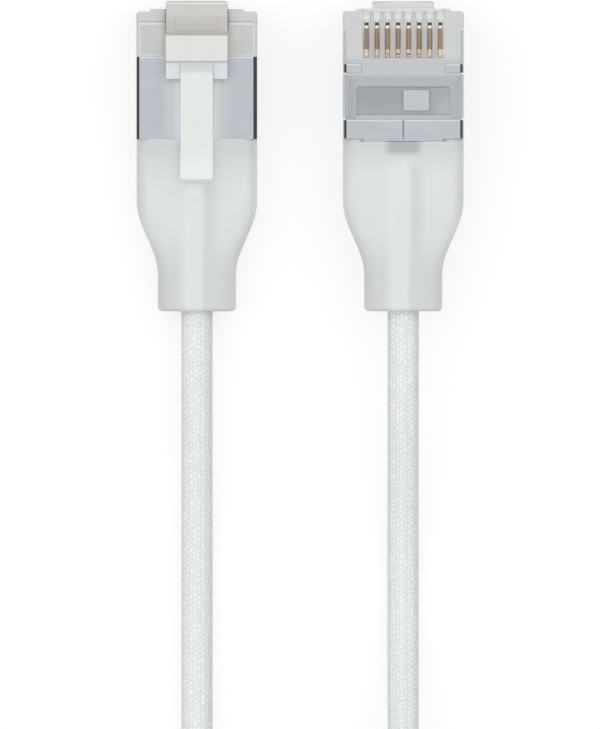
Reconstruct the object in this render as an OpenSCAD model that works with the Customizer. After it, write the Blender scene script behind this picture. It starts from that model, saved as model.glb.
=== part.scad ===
// Ethernet patch cable: a slim braided cord with a shielded 8-way plug and a moulded boot on each end.
// Millimetres, +Z up. The cable lies on a table at z = 0 with both plugs pointing along +Y: plug a has
// its latch up, plug b has its contacts up, and the spare cord is coiled behind them.
// Inside a plug, u is the distance behind the front of the nose, z = 0 is the contact face and
// z = plug_h is the latch face.

/* [Plug] */
// Width of a plug across its shield
plug_w = 11.68; // [11.4:0.02:12.4]
// Height of a plug from the contact face to the latch face
plug_h = 6.6; // [6.4:0.05:7.4]
// Length of the bare plastic nose in front of the shield
nose_len = 4.64; // [4.3:0.02:5]
// Distance from the front of the nose to the boot
body_len = 12.6; // [12.2:0.1:14]
// Width of the middle of the nose, which stands out in front
nose_mid_w = 9.07; // [8:0.01:10]
// How far the middle of the nose stands out
nose_step = 0.24; // [0.1:0.02:0.5]
// Radius of the nose's front corners
nose_r = 0.35; // [0.1:0.05:0.8]
// Step down from the latch face at the front of the nose
lip_drop = 0.2; // [0.1:0.05:0.4]
// Distance from the front of the nose to that step
lip_u = 1.27; // [0.8:0.01:1.8]
// Width of the housing's tail inside the boot
tail_w = 9.6; // [8:0.1:10.4]
// Height of the housing's tail inside the boot
tail_h = 5.0; // [4.4:0.1:5.4]
// Length of the housing's tail inside the boot
tail_len = 1.6; // [1:0.1:2.5]

/* [Contacts] */
// Distance from one contact to the next
contact_pitch = 1.02; // [0.98:0.01:1.06]
// Thickness of a contact blade
contact_t = 0.35; // [0.25:0.01:0.38]
// Length of a contact blade
contact_len = 3.6; // [3.2:0.05:3.7]
// Distance from the front of the nose to the blades
contact_u = 1.14; // [0.9:0.01:1.3]
// How deep the blades' crowns lie below the contact face
contact_sink = 0.62; // [0.4:0.01:0.8]
// Distance from the front of the nose to the comb's walls
comb_u = 0.3; // [0.2:0.05:0.6]
// Depth of the comb's channels
comb_depth = 0.85; // [0.7:0.05:1.5]
// Width of a channel at its front
channel_front_w = 0.69; // [0.6:0.01:0.75]
// Width of a channel at its back
channel_back_w = 0.42; // [0.42:0.01:0.55]
// Width of the two piercing teeth of a blade
tooth_w = 0.5; // [0.3:0.05:0.7]

/* [Latch] */
// Width of the latch at its root, block and wings
latch_w = 6.0; // [5.6:0.05:6.2]
// Radius of the latch's root, which is also how far it stands out in front of the nose
root_r = 0.8; // [0.6:0.05:0.9]
// Rounding of the root's two front corners, seen from above
root_corner_r = 0.28; // [0.1:0.02:0.5]
// Distance from the latch's pivot to the front of its thick block
block_s = 2.45; // [2.2:0.05:3]
// Length of the thick block
block_len = 2.95; // [2:0.05:3.2]
// Length of the slope at the block's front
block_slope = 0.4; // [0.1:0.05:0.8]
// Width of the finger lever
lever_w = 3.16; // [2.8:0.02:4]
// Distance from the latch's pivot to the end of the lever
lever_len = 17.2; // [15:0.1:18]
// Thickness of the lever
lever_t = 0.9; // [0.7:0.05:1.1]
// Thickness of the thin plate between the root and the block
plate_t = 0.4; // [0.3:0.05:0.6]
// How far the block stands above the plate
block_rise = 0.6; // [0.3:0.05:0.8]
// Length of the locking wings behind the block
wing_len = 1.65; // [1:0.05:2.5]
// Angle at which the free latch stands up from the plug
latch_rise = 8; // [7.5:0.1:10]

/* [Shield] */
// Thickness of the shield's sheet
shield_t = 0.25; // [0.15:0.01:0.3]
// Distance from the front of the nose to the shield's side strips
strip_u = 1.96; // [1.6:0.02:2.6]
// Height of the side strips beside the nose
strip_h = 4.2; // [3:0.1:5]
// Distance from the front of the nose to the wrapped tabs
wrap_u = 5.36; // [5.1:0.02:5.7]
// Length of the wrapped tabs along the plug
wrap_len = 0.87; // [0.6:0.01:1.1]
// How far the wrapped tabs reach in from the sides
wrap_reach = 1.8; // [1:0.05:1.9]
// Length of the band that closes round the back
band_len = 1.85; // [1.4:0.05:2]
// Width of the seam in the band
seam_w = 0.1; // [0.05:0.01:0.2]
// Width of the shallow tab behind the band
lip_tab_w = 7.9; // [6:0.1:8.6]
// Length of that tab
lip_tab_len = 0.23; // [0.1:0.01:0.4]

/* [Inside] */
// Length of the load bar
bar_len = 5.3; // [5:0.1:5.5]
// Height of the load bar
bar_h = 1.9; // [1.6:0.1:2]
// Diameter of an insulated wire
wire_d = 0.46; // [0.4:0.01:0.48]
// Length of the strain window
window_len = 2.73; // [2.4:0.01:2.8]
// Width of the strain window
window_w = 9.04; // [7:0.01:9.6]
// How deep the strain bar lies in its window
window_sink = 0.5; // [0.3:0.05:0.8]
// Width of the raised block on the strain bar
strain_block_w = 2.5; // [1.5:0.05:3]
// Outer diameter of the crimp collar
collar_d = 3.5; // [3.4:0.05:3.9]
// Length of the crimp collar
collar_len = 2.6; // [1.5:0.1:2.9]

/* [Boot] */
// Distance from the front of the nose to the end of the boot
plug_len = 29.28; // [28:0.02:34]
// Height of the boot at its front
boot_h = 6.8; // [6.6:0.05:6.9]
// Width of the boot's neck
neck_w = 7.56; // [6:0.02:9]
// Height of the boot's neck
neck_h = 5.9; // [5:0.1:6.6]
// Length of the straight wide part of the boot
shoulder_len = 6.1; // [4:0.1:8]
// Length of the curved waist between the wide part and the neck
waist_len = 7; // [5:0.1:8]
// Rounding of the boot's back edge
boot_end_r = 0.4; // [0.2:0.05:0.8]

/* [Cable] */
// Diameter of the cord over its woven sleeve
cord_d = 3.03; // [2.9:0.01:3.1]
// Diameter of the inner jacket
jacket_d = 2.6; // [2.5:0.01:2.65]
// Bore of the inner jacket
jacket_bore_d = 2.2; // [2.15:0.01:2.3]
// Distance between the middles of the two plugs
plug_spacing = 20; // [14:0.5:30]

/* [Coil] */
// Radius of the coil's outer turn
coil_r = 20.4; // [20:0.1:24]
// Distance from one turn to the next, sideways and upwards
coil_pitch = 3.45; // [3.45:0.01:3.8]
// Width of the tie that holds the coil
tie_w = 3; // [2:0.1:6]
// Thickness of the tie
tie_t = 0.5; // [0.3:0.05:0.8]

/* [Hidden] */
$fn = 48;
ENDS = ["a", "b"];
CONTACTS = 8;
PAIRS = 4;
WIRE_SIDES = 8;

fit_gap = 0.02;     // between pieces of a plug that push into each other
latch_gap = 0.15;   // under the latch
latch_side_gap = 0.04;  // beside the latch's root
coil_gap = 0.1;     // between the coil and its tie

// Levels and places inside a plug
half_w = plug_w / 2;
wire_z = plug_h / 2;
bar_z0 = wire_z - bar_h / 2;
bar_z1 = wire_z + bar_h / 2;
bar_u = contact_u + 0.2;
bar_end = bar_u + bar_len;
bar_half = CONTACTS * contact_pitch / 2 + 0.1;
wire_stop = 0.25;       // wall of the load bar in front of the wires
wire_first = 180 / WIRE_SIDES;
comb_half = CONTACTS * contact_pitch / 2 - 0.13;
comb_end = contact_u + contact_len + 0.05;
tooth_tip_z = wire_z + 0.1;
floor_step_u = wrap_u + wrap_len + 0.3;
floor_ramp = 0.35;      // length of the slope from there to the level of the window
band_u = body_len - band_len;
window_u = band_u - window_len - 0.45;
tail_end = body_len + tail_len;

// Latch
pivot_z = plug_h - root_r;
plate_n = root_r + latch_gap + plate_t;
lever_n = root_r + latch_gap;
notch_len = block_s - 0.4;
lever_top_n = lever_n + lever_t;
block_end = block_s + block_len;

// Cable inside the plug
jacket_u = window_u + window_len - 0.6;
fan_end = jacket_u - 0.1;
cavity_half = 2.2;
cavity_z0 = wire_z - 2.1;
cavity_z1 = wire_z + 2.1;
fold_t = 0.13;
fold_r = jacket_d / 2 + fit_gap + fold_t;
collar_u = tail_end - collar_len;
cord_r = cord_d / 2;

// Boot
boot_z = boot_h / 2;
waist_u = body_len + shoulder_len;

// Layout: plug a stands on its contact face, plug b lies on its lever
nose_y = (plug_len - root_r) / 2;
lever_tip = rise_point(lever_len - 0.2, lever_top_n);
stack_h = pivot_z + lever_tip[1];
exit_a = [-plug_spacing / 2, nose_y - plug_len, wire_z];
exit_b = [plug_spacing / 2, nose_y - plug_len, stack_h - wire_z];

// Coil: layers 1 and 3 wind inwards, layers 2 and 4 outwards
COIL_LAYERS = 4;
RINGS_PER_LOOP = 24;
COIL_SIDES = 6;
coil_centre = [0, -86];
coil_start_deg = 141;
coil_turns = 8 - (2 * coil_start_deg - 180) / 360;
layer_turns = coil_turns / COIL_LAYERS;
coil_z = tie_t + coil_gap + cord_r;
coil_rings = round(coil_turns * RINGS_PER_LOOP);
coil_inner = coil_r - coil_pitch * layer_turns;

// Routes of the two free stretches, from the boots to the coil
CORD_SIDES = 8;
route_a = concat(
    [exit_a, exit_a - [0, 4, 0]],
    [[-10, -24, 3.1], [-10, -29, 2.5], [-10, -34, 1.9], [-10, -39, 1.6], [-10, -45, 1.6],
     [-10, -51, 1.6], [-10, -56, 1.6], [-10, -60.6, 1.6], [-10.4, -64, 1.7], [-11.5, -67.2, 1.9]],
    [coil_lead(0), coil_point(0)]);
route_b = concat(
    [exit_b, exit_b - [0, 4, 0]],
    [[10, -23, 6.3], [10, -27, 5.3], [10, -31, 3.9], [10, -35, 2.6], [10, -39, 1.8], [10, -43, 1.6],
     [10, -47, 2.1], [10, -51, 3.4], [10, -55, 5.4], [10, -58, 7.1], [10, -60.6, 8.6],
     [10.4, -64, 10.4], [11.5, -67.2, 11.8]],
    [coil_lead(1), coil_point(1)]);

// ---- Small helpers ----

// Box between two x, two u and two z values
module block(x0, x1, u0, u1, z0, z1) {
    translate([x0, -u1, z0])
        cube([x1 - x0, u1 - u0, z1 - z0]);
}

// Box of half width w about the middle of the plug
module mid_block(w, u0, u1, z0, z1) {
    block(-w, w, u0, u1, z0, z1);
}

// Rod of radius r along the plug from u0 to u1, at x and z
module rod(x, z, r, u0, u1) {
    translate([x, -u0, z])
        rotate([90, 0, 0])
            cylinder(h = u1 - u0, r = r);
}

// Tube along the plug
module tube(r_out, r_in, u0, u1) {
    difference() {
        rod(0, wire_z, r_out, u0, u1);
        rod(0, wire_z, r_in, u0 - 1, u1 + 1);
    }
}

// Stands a flat shape drawn in (-u, z) across the plug, w wide in all
module across(w) {
    translate([-w / 2, 0, 0])
        rotate([90, 0, 90])
            linear_extrude(w)
                children();
}

// Carries a flat shape drawn in (x, z) along the plug from u0 to u1
module along(u0, u1) {
    translate([0, -u0, 0])
        rotate([90, 0, 0])
            linear_extrude(u1 - u0)
                children();
}

// Raises a flat shape drawn in (x, -u) from z0 to z1
module upright(z0, z1) {
    translate([0, 0, z0])
        linear_extrude(z1 - z0)
            children();
}

// Places one plug: a with its latch up, b turned over
module place(end) {
    if (end == "a")
        translate([-plug_spacing / 2, nose_y, 0])
            children();
    else
        translate([plug_spacing / 2, nose_y, stack_h])
            rotate([0, 180, 0])
                children();
}

// Point (s, n) of the latch seen from the side, turned up about its pivot by the latch's rise
function rise_point(s, n) = [
    s * cos(latch_rise) - n * sin(latch_rise),
    s * sin(latch_rise) + n * cos(latch_rise)];

function contact_x(i) = (i - (CONTACTS + 1) / 2) * contact_pitch;
function tooth_u(k) = contact_u + contact_len * (k == 0 ? 0.22 : 0.68);
function smooth(t) = let (c = max(0, min(1, t))) c * c * (3 - 2 * c);
function unit(v) = v / norm(v);

// ---- Tubes swept along points ----

function direction(p, i) = unit(p[min(i + 1, len(p) - 1)] - p[max(i - 1, 0)]);

// One ring of n points of radius r square to the path, the first point to its side
function ring(p, i, r, n, first) =
    let (t = direction(p, i), side = unit(cross(t, [0, 0, 1])), up = cross(side, t))
    [for (k = [0 : n - 1])
        let (a = first + 360 * k / n) p[i] + r * (cos(a) * side + sin(a) * up)];

// Closed tube of radius r with n sides along the points p
module swept(p, r, n, first = 0) {
    last = (len(p) - 1) * n;
    polyhedron(
        points = [for (i = [0 : len(p) - 1]) for (q = ring(p, i, r, n, first)) q],
        faces = concat(
            [for (i = [0 : len(p) - 2]) for (k = [0 : n - 1]) let (j = (k + 1) % n)
                each [[i * n + k, i * n + j, (i + 1) * n + j],
                      [i * n + k, (i + 1) * n + j, (i + 1) * n + k]]],
            [for (k = [1 : n - 2]) [0, k + 1, k]],
            [for (k = [1 : n - 2]) [last, last + k, last + k + 1]]));
}

// ---- Plug ----

// Outline of the nose from u0 to u1 with round front corners, drawn in (x, -u)
module nose_outline(u0, u1, r) {
    for (s = [-1, 1])
        translate([s * (half_w - r), -u0 - r])
            circle(r = r);
    translate([-half_w + r, -u1])
        square([2 * (half_w - r), u1 - u0]);
    translate([-half_w, -u1])
        square([2 * half_w, u1 - u0 - r]);
}

// The comb's channels: an open recess less the tapered walls between the contacts
module comb_outline() {
    front_w = (contact_pitch - channel_front_w) / 2;
    back_w = (contact_pitch - channel_back_w) / 2;
    difference() {
        translate([-comb_half, -comb_end])
            square([2 * comb_half, comb_end + 1]);
        for (i = [1 : CONTACTS - 1])
            translate([contact_x(i) + contact_pitch / 2, 0]) {
                translate([0, -comb_u - front_w])
                    circle(r = front_w);
                polygon([[-front_w, -comb_u - front_w], [front_w, -comb_u - front_w],
                    [back_w, -comb_end - 1], [-back_w, -comb_end - 1]]);
            }
    }
}

// Room for a blade's teeth in the load bar and in the wires
module tooth_room(i) {
    w = contact_t / 2 + fit_gap;
    for (k = [0, 1])
        block(contact_x(i) - w, contact_x(i) + w, tooth_u(k) - fit_gap,
            tooth_u(k) + tooth_w + fit_gap, bar_z0 - 1, tooth_tip_z + fit_gap);
}

module housing_solid() {
    mid_block(nose_mid_w / 2, 0, nose_len, 0, plug_h - lip_drop);
    upright(0, plug_h - lip_drop)
        nose_outline(nose_step, nose_len, nose_r);
    upright(wire_z, plug_h)
        nose_outline(lip_u, nose_len, nose_r);
    mid_block(half_w - shield_t, nose_len - 1, floor_step_u, 0, plug_h - shield_t);
    mid_block(half_w - shield_t, nose_len - 1, body_len, shield_t, plug_h - shield_t);
    across(2 * (half_w - shield_t))
        polygon([[0.01 - floor_step_u, 0], [-floor_step_u - floor_ramp, shield_t],
            [-floor_step_u - floor_ramp, shield_t + 0.1], [0.01 - floor_step_u, shield_t + 0.1]]);
    mid_block(tail_w / 2, body_len - 1, tail_end, wire_z - tail_h / 2, wire_z + tail_h / 2);
}

module housing() {
    color([0.88, 0.9, 0.9])
        difference() {
            housing_solid();
            // Notch that the latch's root sits in
            mid_block(latch_w / 2 + latch_side_gap, -1, notch_len, pivot_z - root_r - latch_gap, plug_h + 1);
            // Comb and the slots that guide the blades
            upright(-1, comb_depth)
                comb_outline();
            for (i = [1 : CONTACTS])
                block(contact_x(i) - contact_t / 2 - fit_gap, contact_x(i) + contact_t / 2 + fit_gap,
                    contact_u - fit_gap, contact_u + contact_len + fit_gap, 0, wire_z);
            // Chamber of the load bar, then the fan of wires and the room round the jacket
            mid_block(bar_half + fit_gap, bar_u - fit_gap, bar_end + fit_gap,
                bar_z0 - fit_gap, bar_z1 + fit_gap);
            upright(cavity_z0, cavity_z1)
                polygon([[-bar_half - fit_gap, -bar_end], [bar_half + fit_gap, -bar_end],
                    [cavity_half, -fan_end], [-cavity_half, -fan_end]]);
            mid_block(cavity_half, fan_end - 0.01, collar_u + 0.1, cavity_z0, cavity_z1);
            rod(0, wire_z, collar_d / 2 + fit_gap, collar_u - 0.2, tail_end + 1);
            // Window of the strain bar
            mid_block(window_w / 2, window_u, window_u + window_len, -1, cavity_z0);
            // Seats of the shield's side strips and wrapped tabs
            for (s = [-1, 1]) {
                x = s * (half_w - shield_t / 2);
                block(x - shield_t / 2 - (s < 0 ? 1 : 0), x + shield_t / 2 + (s > 0 ? 1 : 0),
                    strip_u, nose_len + 0.01, -1, strip_h);
                w = s * (half_w - wrap_reach / 2);
                block(w - wrap_reach / 2, w + wrap_reach / 2, wrap_u, wrap_u + wrap_len, -1, shield_t);
            }
        }
}

// Cross-section of the folded sheet: corners rounded, the contact side open or closed
module sheet_section(closed) {
    difference() {
        union() {
            for (x = [-1, 1], z = [shield_t, plug_h - shield_t])
                translate([x * (half_w - shield_t), z])
                    circle(r = shield_t);
            translate([-half_w + shield_t, 0])
                square([2 * (half_w - shield_t), plug_h]);
            translate([-half_w, closed ? shield_t : 0])
                square([2 * half_w, plug_h - (closed ? 2 : 1) * shield_t]);
        }
        translate([-half_w + shield_t, closed ? shield_t : -1])
            square([2 * (half_w - shield_t), plug_h - shield_t - (closed ? shield_t : -1)]);
    }
}

module shield() {
    tab_half = lip_tab_w / 2;
    color([0.75, 0.77, 0.8]) {
        difference() {
            union() {
                along(nose_len, body_len)
                    sheet_section(false);
                along(wrap_u, wrap_u + wrap_len)
                    sheet_section(true);
                along(band_u, body_len)
                    sheet_section(true);
            }
            // Opening between the two wrapped tabs
            mid_block(half_w - wrap_reach, wrap_u - 1, wrap_u + wrap_len + 1, -1, shield_t + 0.01);
            mid_block(seam_w / 2, band_u - 1, body_len + 1, -1, shield_t + 0.01);
        }
        for (s = [-1, 1])
            block(s > 0 ? half_w - shield_t : -half_w, s > 0 ? half_w : -half_w + shield_t,
                strip_u, nose_len + 0.01, 0, strip_h);
        // Shallow tab with slanted ends behind the seam
        upright(0, shield_t)
            polygon([[-tab_half, -body_len + 0.01], [tab_half, -body_len + 0.01], [tab_half, -body_len],
                [tab_half - lip_tab_len, -body_len - lip_tab_len],
                [-tab_half + lip_tab_len, -body_len - lip_tab_len], [-tab_half, -body_len]]);
    }
}

// One blade from the side: a dip behind its tip, a crown and a lower heel, over two pointed teeth
module contact(i) {
    root = bar_z0 - contact_sink;
    color([0.85, 0.65, 0.35])
        translate([contact_x(i), 0, 0])
            across(contact_t) {
                translate([-contact_u, contact_sink])
                    polygon([[-contact_len, root], [-contact_len, 0.24], [0.44 - contact_len, 0.18],
                        [0.74 - contact_len, 0], [-0.61, 0], [-0.48, 0.08], [-0.36, 0.22],
                        [-0.16, 0.18], [0, 0.22], [0, root]]);
                for (k = [0, 1])
                    polygon([[-tooth_u(k), bar_z0 - 0.05], [-tooth_u(k), tooth_tip_z - 0.2],
                        [-tooth_u(k) - tooth_w / 2, tooth_tip_z],
                        [-tooth_u(k) - tooth_w, tooth_tip_z - 0.2], [-tooth_u(k) - tooth_w, bar_z0 - 0.05]]);
            }
}

module load_bar() {
    color([0.8, 0.83, 0.84])
        difference() {
            mid_block(bar_half, bar_u, bar_end, bar_z0, bar_z1);
            for (i = [1 : CONTACTS]) {
                translate([contact_x(i), -bar_u - wire_stop, wire_z])
                    rotate([90, wire_first, 0])
                        cylinder(h = bar_len, r = wire_d / 2 + fit_gap, $fn = WIRE_SIDES);
                tooth_room(i);
            }
        }
}

// Where wire i lies in the jacket: the outer pairs stand at the sides, the middle pairs above each other
function wire_bundle(i) =
    let (side = i < 4.5 ? -1 : 1, step = wire_d + 0.05)
    i < 2.5 || i > 6.5 ?
        [side * 1.5 * step, ((i == 1 || i == 8) ? -0.5 : 0.5) * step] :
        [side * 0.5 * step, ((i == 3 || i == 6) ? 0.5 : -0.5) * step];

// Wires 1 2, 3 6, 4 5 and 7 8 make the pairs
function pair_wires(k) = [[1, 2], [3, 6], [4, 5], [7, 8]][k - 1];

WIRE_COLOURS = [[0.95, 0.55, 0.15], [0.25, 0.6, 0.3], [0.2, 0.4, 0.75], [0.5, 0.32, 0.2]];

module wire_pair(k) {
    color(WIRE_COLOURS[k - 1])
        for (i = pair_wires(k)) {
            x = contact_x(i);
            b = wire_bundle(i);
            difference() {
                swept([[x, -bar_u - wire_stop - 0.05, wire_z], [x, -bar_end - 0.2, wire_z],
                    [b[0], -fan_end, wire_z + b[1]], [b[0], -collar_u - 0.5, wire_z + b[1]]],
                    wire_d / 2, WIRE_SIDES, wire_first);
                tooth_room(i);
            }
        }
}

// Bar that closes the window, a foot that presses on the jacket and a block on its outer face
module strain_bar() {
    u1 = window_u + window_len;
    color([0.68, 0.7, 0.71]) {
        mid_block(window_w / 2 - fit_gap, window_u + fit_gap, u1 - fit_gap, window_sink, cavity_z0);
        mid_block(cavity_half - 0.3, jacket_u + fit_gap, u1 - fit_gap,
            cavity_z0 - 0.1, wire_z - jacket_d / 2 - fit_gap);
        block(-strain_block_w, 0, window_u + 0.32, u1 - 0.42, window_sink - 0.35, window_sink + 0.1);
    }
}

module screen_fold() {
    color([0.7, 0.68, 0.64])
        tube(fold_r, jacket_d / 2 + fit_gap, collar_u - 0.3, tail_end);
}

module crimp_collar() {
    color([0.7, 0.71, 0.73])
        tube(collar_d / 2, fold_r + fit_gap, collar_u, tail_end);
}

module jacket_end() {
    color([0.93, 0.94, 0.95])
        tube(jacket_d / 2, jacket_bore_d / 2, jacket_u, plug_len);
}

module sleeve_end() {
    color([0.93, 0.94, 0.95])
        tube(cord_r, jacket_d / 2 + fit_gap, tail_end + 0.2, plug_len);
}

// Boot: a shell lofted over squared-off oval rings that narrow smoothly to the neck
BOOT_SIDES = 40;
BOOT_RINGS = concat(
    [body_len, body_len + shoulder_len / 2],
    [for (k = [0 : 8]) waist_u + waist_len * k / 8],
    [for (a = [0 : 30 : 90]) plug_len - boot_end_r * (1 - sin(a))]);

function waist(u, wide, narrow) = wide + (narrow - wide) * smooth((u - waist_u) / waist_len);
function end_inset(u) =
    let (d = max(0, u - plug_len + boot_end_r)) boot_end_r - sqrt(max(0, boot_end_r ^ 2 - d ^ 2));
function power(v, e) = sign(v) * pow(abs(v), e);

function boot_ring(u) =
    let (
        w = waist(u, plug_w, neck_w) / 2 - end_inset(u),
        h = waist(u, boot_h, neck_h) / 2 - end_inset(u),
        z = waist(u, boot_z, wire_z),
        e = 2 / waist(u, 5, 3.4))
    [for (k = [0 : BOOT_SIDES - 1]) let (a = 360 * (k + 0.5) / BOOT_SIDES)
        [w * power(cos(a), e), -u, z + h * power(sin(a), e)]];

module boot_shell() {
    n = BOOT_SIDES;
    last = (len(BOOT_RINGS) - 1) * n;
    polyhedron(
        points = [for (u = BOOT_RINGS) for (q = boot_ring(u)) q],
        faces = concat(
            [for (i = [0 : len(BOOT_RINGS) - 2]) for (k = [0 : n - 1]) let (j = (k + 1) % n)
                each [[i * n + k, (i + 1) * n + j, i * n + j],
                      [i * n + k, (i + 1) * n + k, (i + 1) * n + j]]],
            [[for (k = [0 : n - 1]) k]],
            [[for (k = [n - 1 : -1 : 0]) last + k]]));
}

module boot() {
    tab_half = lip_tab_w / 2 + 2 * fit_gap;
    color([0.84, 0.86, 0.85])
        difference() {
            boot_shell();
            mid_block(tail_w / 2 + fit_gap, body_len - 1, tail_end + fit_gap,
                wire_z - tail_h / 2 - fit_gap, wire_z + tail_h / 2 + fit_gap);
            rod(0, wire_z, cord_r + fit_gap, body_len, plug_len + 1);
            // Room for the shield's shallow tab
            mid_block(tab_half, body_len - 1, body_len + lip_tab_len + fit_gap, -1, shield_t + fit_gap);
        }
}

// The latch from the side in its own frame: s back from the pivot, n up from it, drawn as (-s, n)
module latch_root_side() {
    circle(r = root_r);
    polygon([[root_r, 0], [0.8 * root_r, plate_n - 0.3], [0.6 * root_r, plate_n - 0.08],
        [0.4 * root_r, plate_n], [-block_s - 0.1, plate_n], [-block_s - 0.1, lever_n],
        [-1.5, lever_n], [-root_r, 0.2]]);
}

// What is cut away to round the root's front corners, seen from above
module root_corner_cut() {
    for (x = [-1, 1])
        difference() {
            translate([x * (latch_w / 2 - root_corner_r / 2 + 0.5), root_r - root_corner_r / 2 + 0.5])
                square(root_corner_r + 1, center = true);
            translate([x * (latch_w / 2 - root_corner_r), root_r - root_corner_r])
                circle(r = root_corner_r, $fn = 32);
        }
}

module latch_lever_side() {
    tip_r = lever_t / 3;
    polygon([[-block_end + 0.1, lever_n], [-block_end + 0.1, lever_n + 0.6 * lever_t],
        [-block_end - 1.3, lever_top_n], [-lever_len + tip_r, lever_top_n],
        [-lever_len, lever_top_n - tip_r], [-lever_len, lever_n], [-block_end - 1, lever_n]]);
    translate([-lever_len + tip_r, lever_top_n - tip_r])
        circle(r = tip_r);
}

module latch() {
    pocket_end = block_s - 0.15;
    color([0.9, 0.92, 0.91])
        translate([0, 0, pivot_z])
            difference() {
                rotate([-latch_rise, 0, 0])
                    difference() {
                        union() {
                            across(latch_w)
                                latch_root_side();
                            across(latch_w)
                                polygon([[-block_s, lever_n], [-block_s, plate_n],
                                    [-block_s - block_slope, plate_n + block_rise],
                                    [-block_end, plate_n + block_rise], [-block_end, lever_n]]);
                            mid_block(latch_w / 2, block_end - 0.1, block_end + wing_len, lever_n,
                                plate_n);
                            across(lever_w)
                                latch_lever_side();
                        }
                        // Shallow pocket in the root's top, deepest next to the block
                        across(latch_w - 1.9)
                            polygon([[1.35 - pocket_end, plate_n + 0.01], [-pocket_end, plate_n - 0.12],
                                [-pocket_end, plate_n + 1], [1.35 - pocket_end, plate_n + 1]]);
                    }
                upright(-root_r - 1, plate_n + 1)
                    root_corner_cut();
            }
}

// ---- Cord between the plugs ----

// Radius and height of the coil after so many turns
function coil_radius(t) =
    let (layer = min(COIL_LAYERS - 1, floor(t / layer_turns)), f = t - layer * layer_turns)
    layer % 2 == 0 ? coil_r - coil_pitch * f : coil_inner + coil_pitch * f;
function coil_height(t) =
    coil_z + coil_pitch * (len([for (k = [1 : COIL_LAYERS - 1]) if (t > k * layer_turns + 0.25) k])
        + max([0, for (k = [1 : COIL_LAYERS - 1])
            let (f = (t - k * layer_turns + 0.25) / 0.5) if (f > 0 && f <= 1) f]));
function coil_at(t) =
    let (a = coil_start_deg + 360 * t, r = coil_radius(t))
    [coil_centre[0] + r * cos(a), coil_centre[1] + r * sin(a), coil_height(t)];

// The two ends of the coil: side 0 joins lead a, side 1 joins lead b. Each runs straight for one diameter
function coil_turn_end(side) = coil_at(side * coil_turns);
function coil_way(side) =
    let (a = coil_start_deg + 360 * side * coil_turns, s = side == 0 ? 1 : -1)
    s * [sin(a), -cos(a), 0];
function coil_point(side) = coil_turn_end(side) + cord_d * coil_way(side);
function coil_lead(side) = coil_turn_end(side) + (cord_d + 1) * coil_way(side);

coil_path = concat(
    [coil_point(0)],
    [for (i = [0 : coil_rings]) coil_at(coil_turns * i / coil_rings)],
    [coil_point(1)]);

// Least distance between points of the coil that lie half a turn or more apart along it
coil_least = min([for (i = [0 : len(coil_path) - 1])
    for (j = [i + RINGS_PER_LOOP / 2 : 1 : len(coil_path) - 1]) norm(coil_path[i] - coil_path[j])]);
echo(coil_gap_to_itself = coil_least - cord_d);

module cord_coil() {
    color([0.91, 0.93, 0.94])
        swept(coil_path, cord_r, COIL_SIDES);
}

module cord_lead(route) {
    color([0.91, 0.93, 0.94])
        swept(route, cord_r, CORD_SIDES, 180 / CORD_SIDES);
}

// Flat strap round the turns at the back of the coil
module cable_tie() {
    room = cord_r + coil_gap;
    near = -coil_centre[1] + coil_inner - room - 0.1;
    far = -coil_centre[1] + coil_r + room;
    top = coil_z + coil_pitch * (COIL_LAYERS - 1) + room;
    color([0.85, 0.86, 0.87])
        difference() {
            mid_block(tie_w / 2, near - tie_t, far + tie_t, 0, top + tie_t);
            mid_block(tie_w, near, far, tie_t, top);
        }
}

// ---- Assembly ----

for (end = ENDS) {
    place(end) housing();
    place(end) latch();
    place(end) shield();
    place(end) load_bar();
    place(end) strain_bar();
    place(end) screen_fold();
    place(end) crimp_collar();
    place(end) jacket_end();
    place(end) sleeve_end();
    place(end) boot();
    for (i = [1 : CONTACTS])
        place(end) contact(i);
    for (i = [1 : PAIRS])
        place(end) wire_pair(i);
}
cord_lead(route_a);  // cord_lead_a
cord_lead(route_b);  // cord_lead_b
cord_coil();
cable_tie();
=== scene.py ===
"""Ethernet patch cable: a slim braided cord with a shielded modular plug and a frosted boot on each end.

Everything is in metres, +Z up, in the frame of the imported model. Inside a plug the pieces are worked out
in millimetres as (x, u, z): x across the plug, u behind the front of its nose, z up from its contact face.
"""

import logging
import math
from dataclasses import dataclass, field, replace
from enum import Enum

import bmesh
import bpy
import numpy as np
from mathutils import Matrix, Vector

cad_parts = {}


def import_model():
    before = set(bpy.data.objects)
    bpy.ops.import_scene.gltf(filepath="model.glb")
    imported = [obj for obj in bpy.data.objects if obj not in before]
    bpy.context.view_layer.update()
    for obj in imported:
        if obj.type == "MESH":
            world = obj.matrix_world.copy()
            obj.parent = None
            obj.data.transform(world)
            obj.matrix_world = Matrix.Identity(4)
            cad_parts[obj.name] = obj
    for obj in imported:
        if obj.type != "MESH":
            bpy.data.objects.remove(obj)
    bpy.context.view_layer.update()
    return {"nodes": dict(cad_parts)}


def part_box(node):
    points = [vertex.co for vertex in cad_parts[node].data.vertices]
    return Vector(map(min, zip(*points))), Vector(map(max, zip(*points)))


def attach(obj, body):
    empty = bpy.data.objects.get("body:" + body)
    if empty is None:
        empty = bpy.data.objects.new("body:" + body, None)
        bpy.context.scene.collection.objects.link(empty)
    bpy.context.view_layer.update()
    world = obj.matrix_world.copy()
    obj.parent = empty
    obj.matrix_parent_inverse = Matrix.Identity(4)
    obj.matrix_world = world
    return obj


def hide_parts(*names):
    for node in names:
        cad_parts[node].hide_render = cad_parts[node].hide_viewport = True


LOG = logging.getLogger("patch_cable")
MM = 0.001

# Lengths in millimetres and angles in degrees: from plug to plug, then what counts as one point, as flat and
# as a sharp edge where CAD nodes are copied and rounded.
PLUG_SPACING = 20.0
SAME_POINT = 0.002
FLAT_ANGLE = 0.5
SHARP_ANGLE = 32.0
SHADED_ANGLE = 50.0

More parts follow.
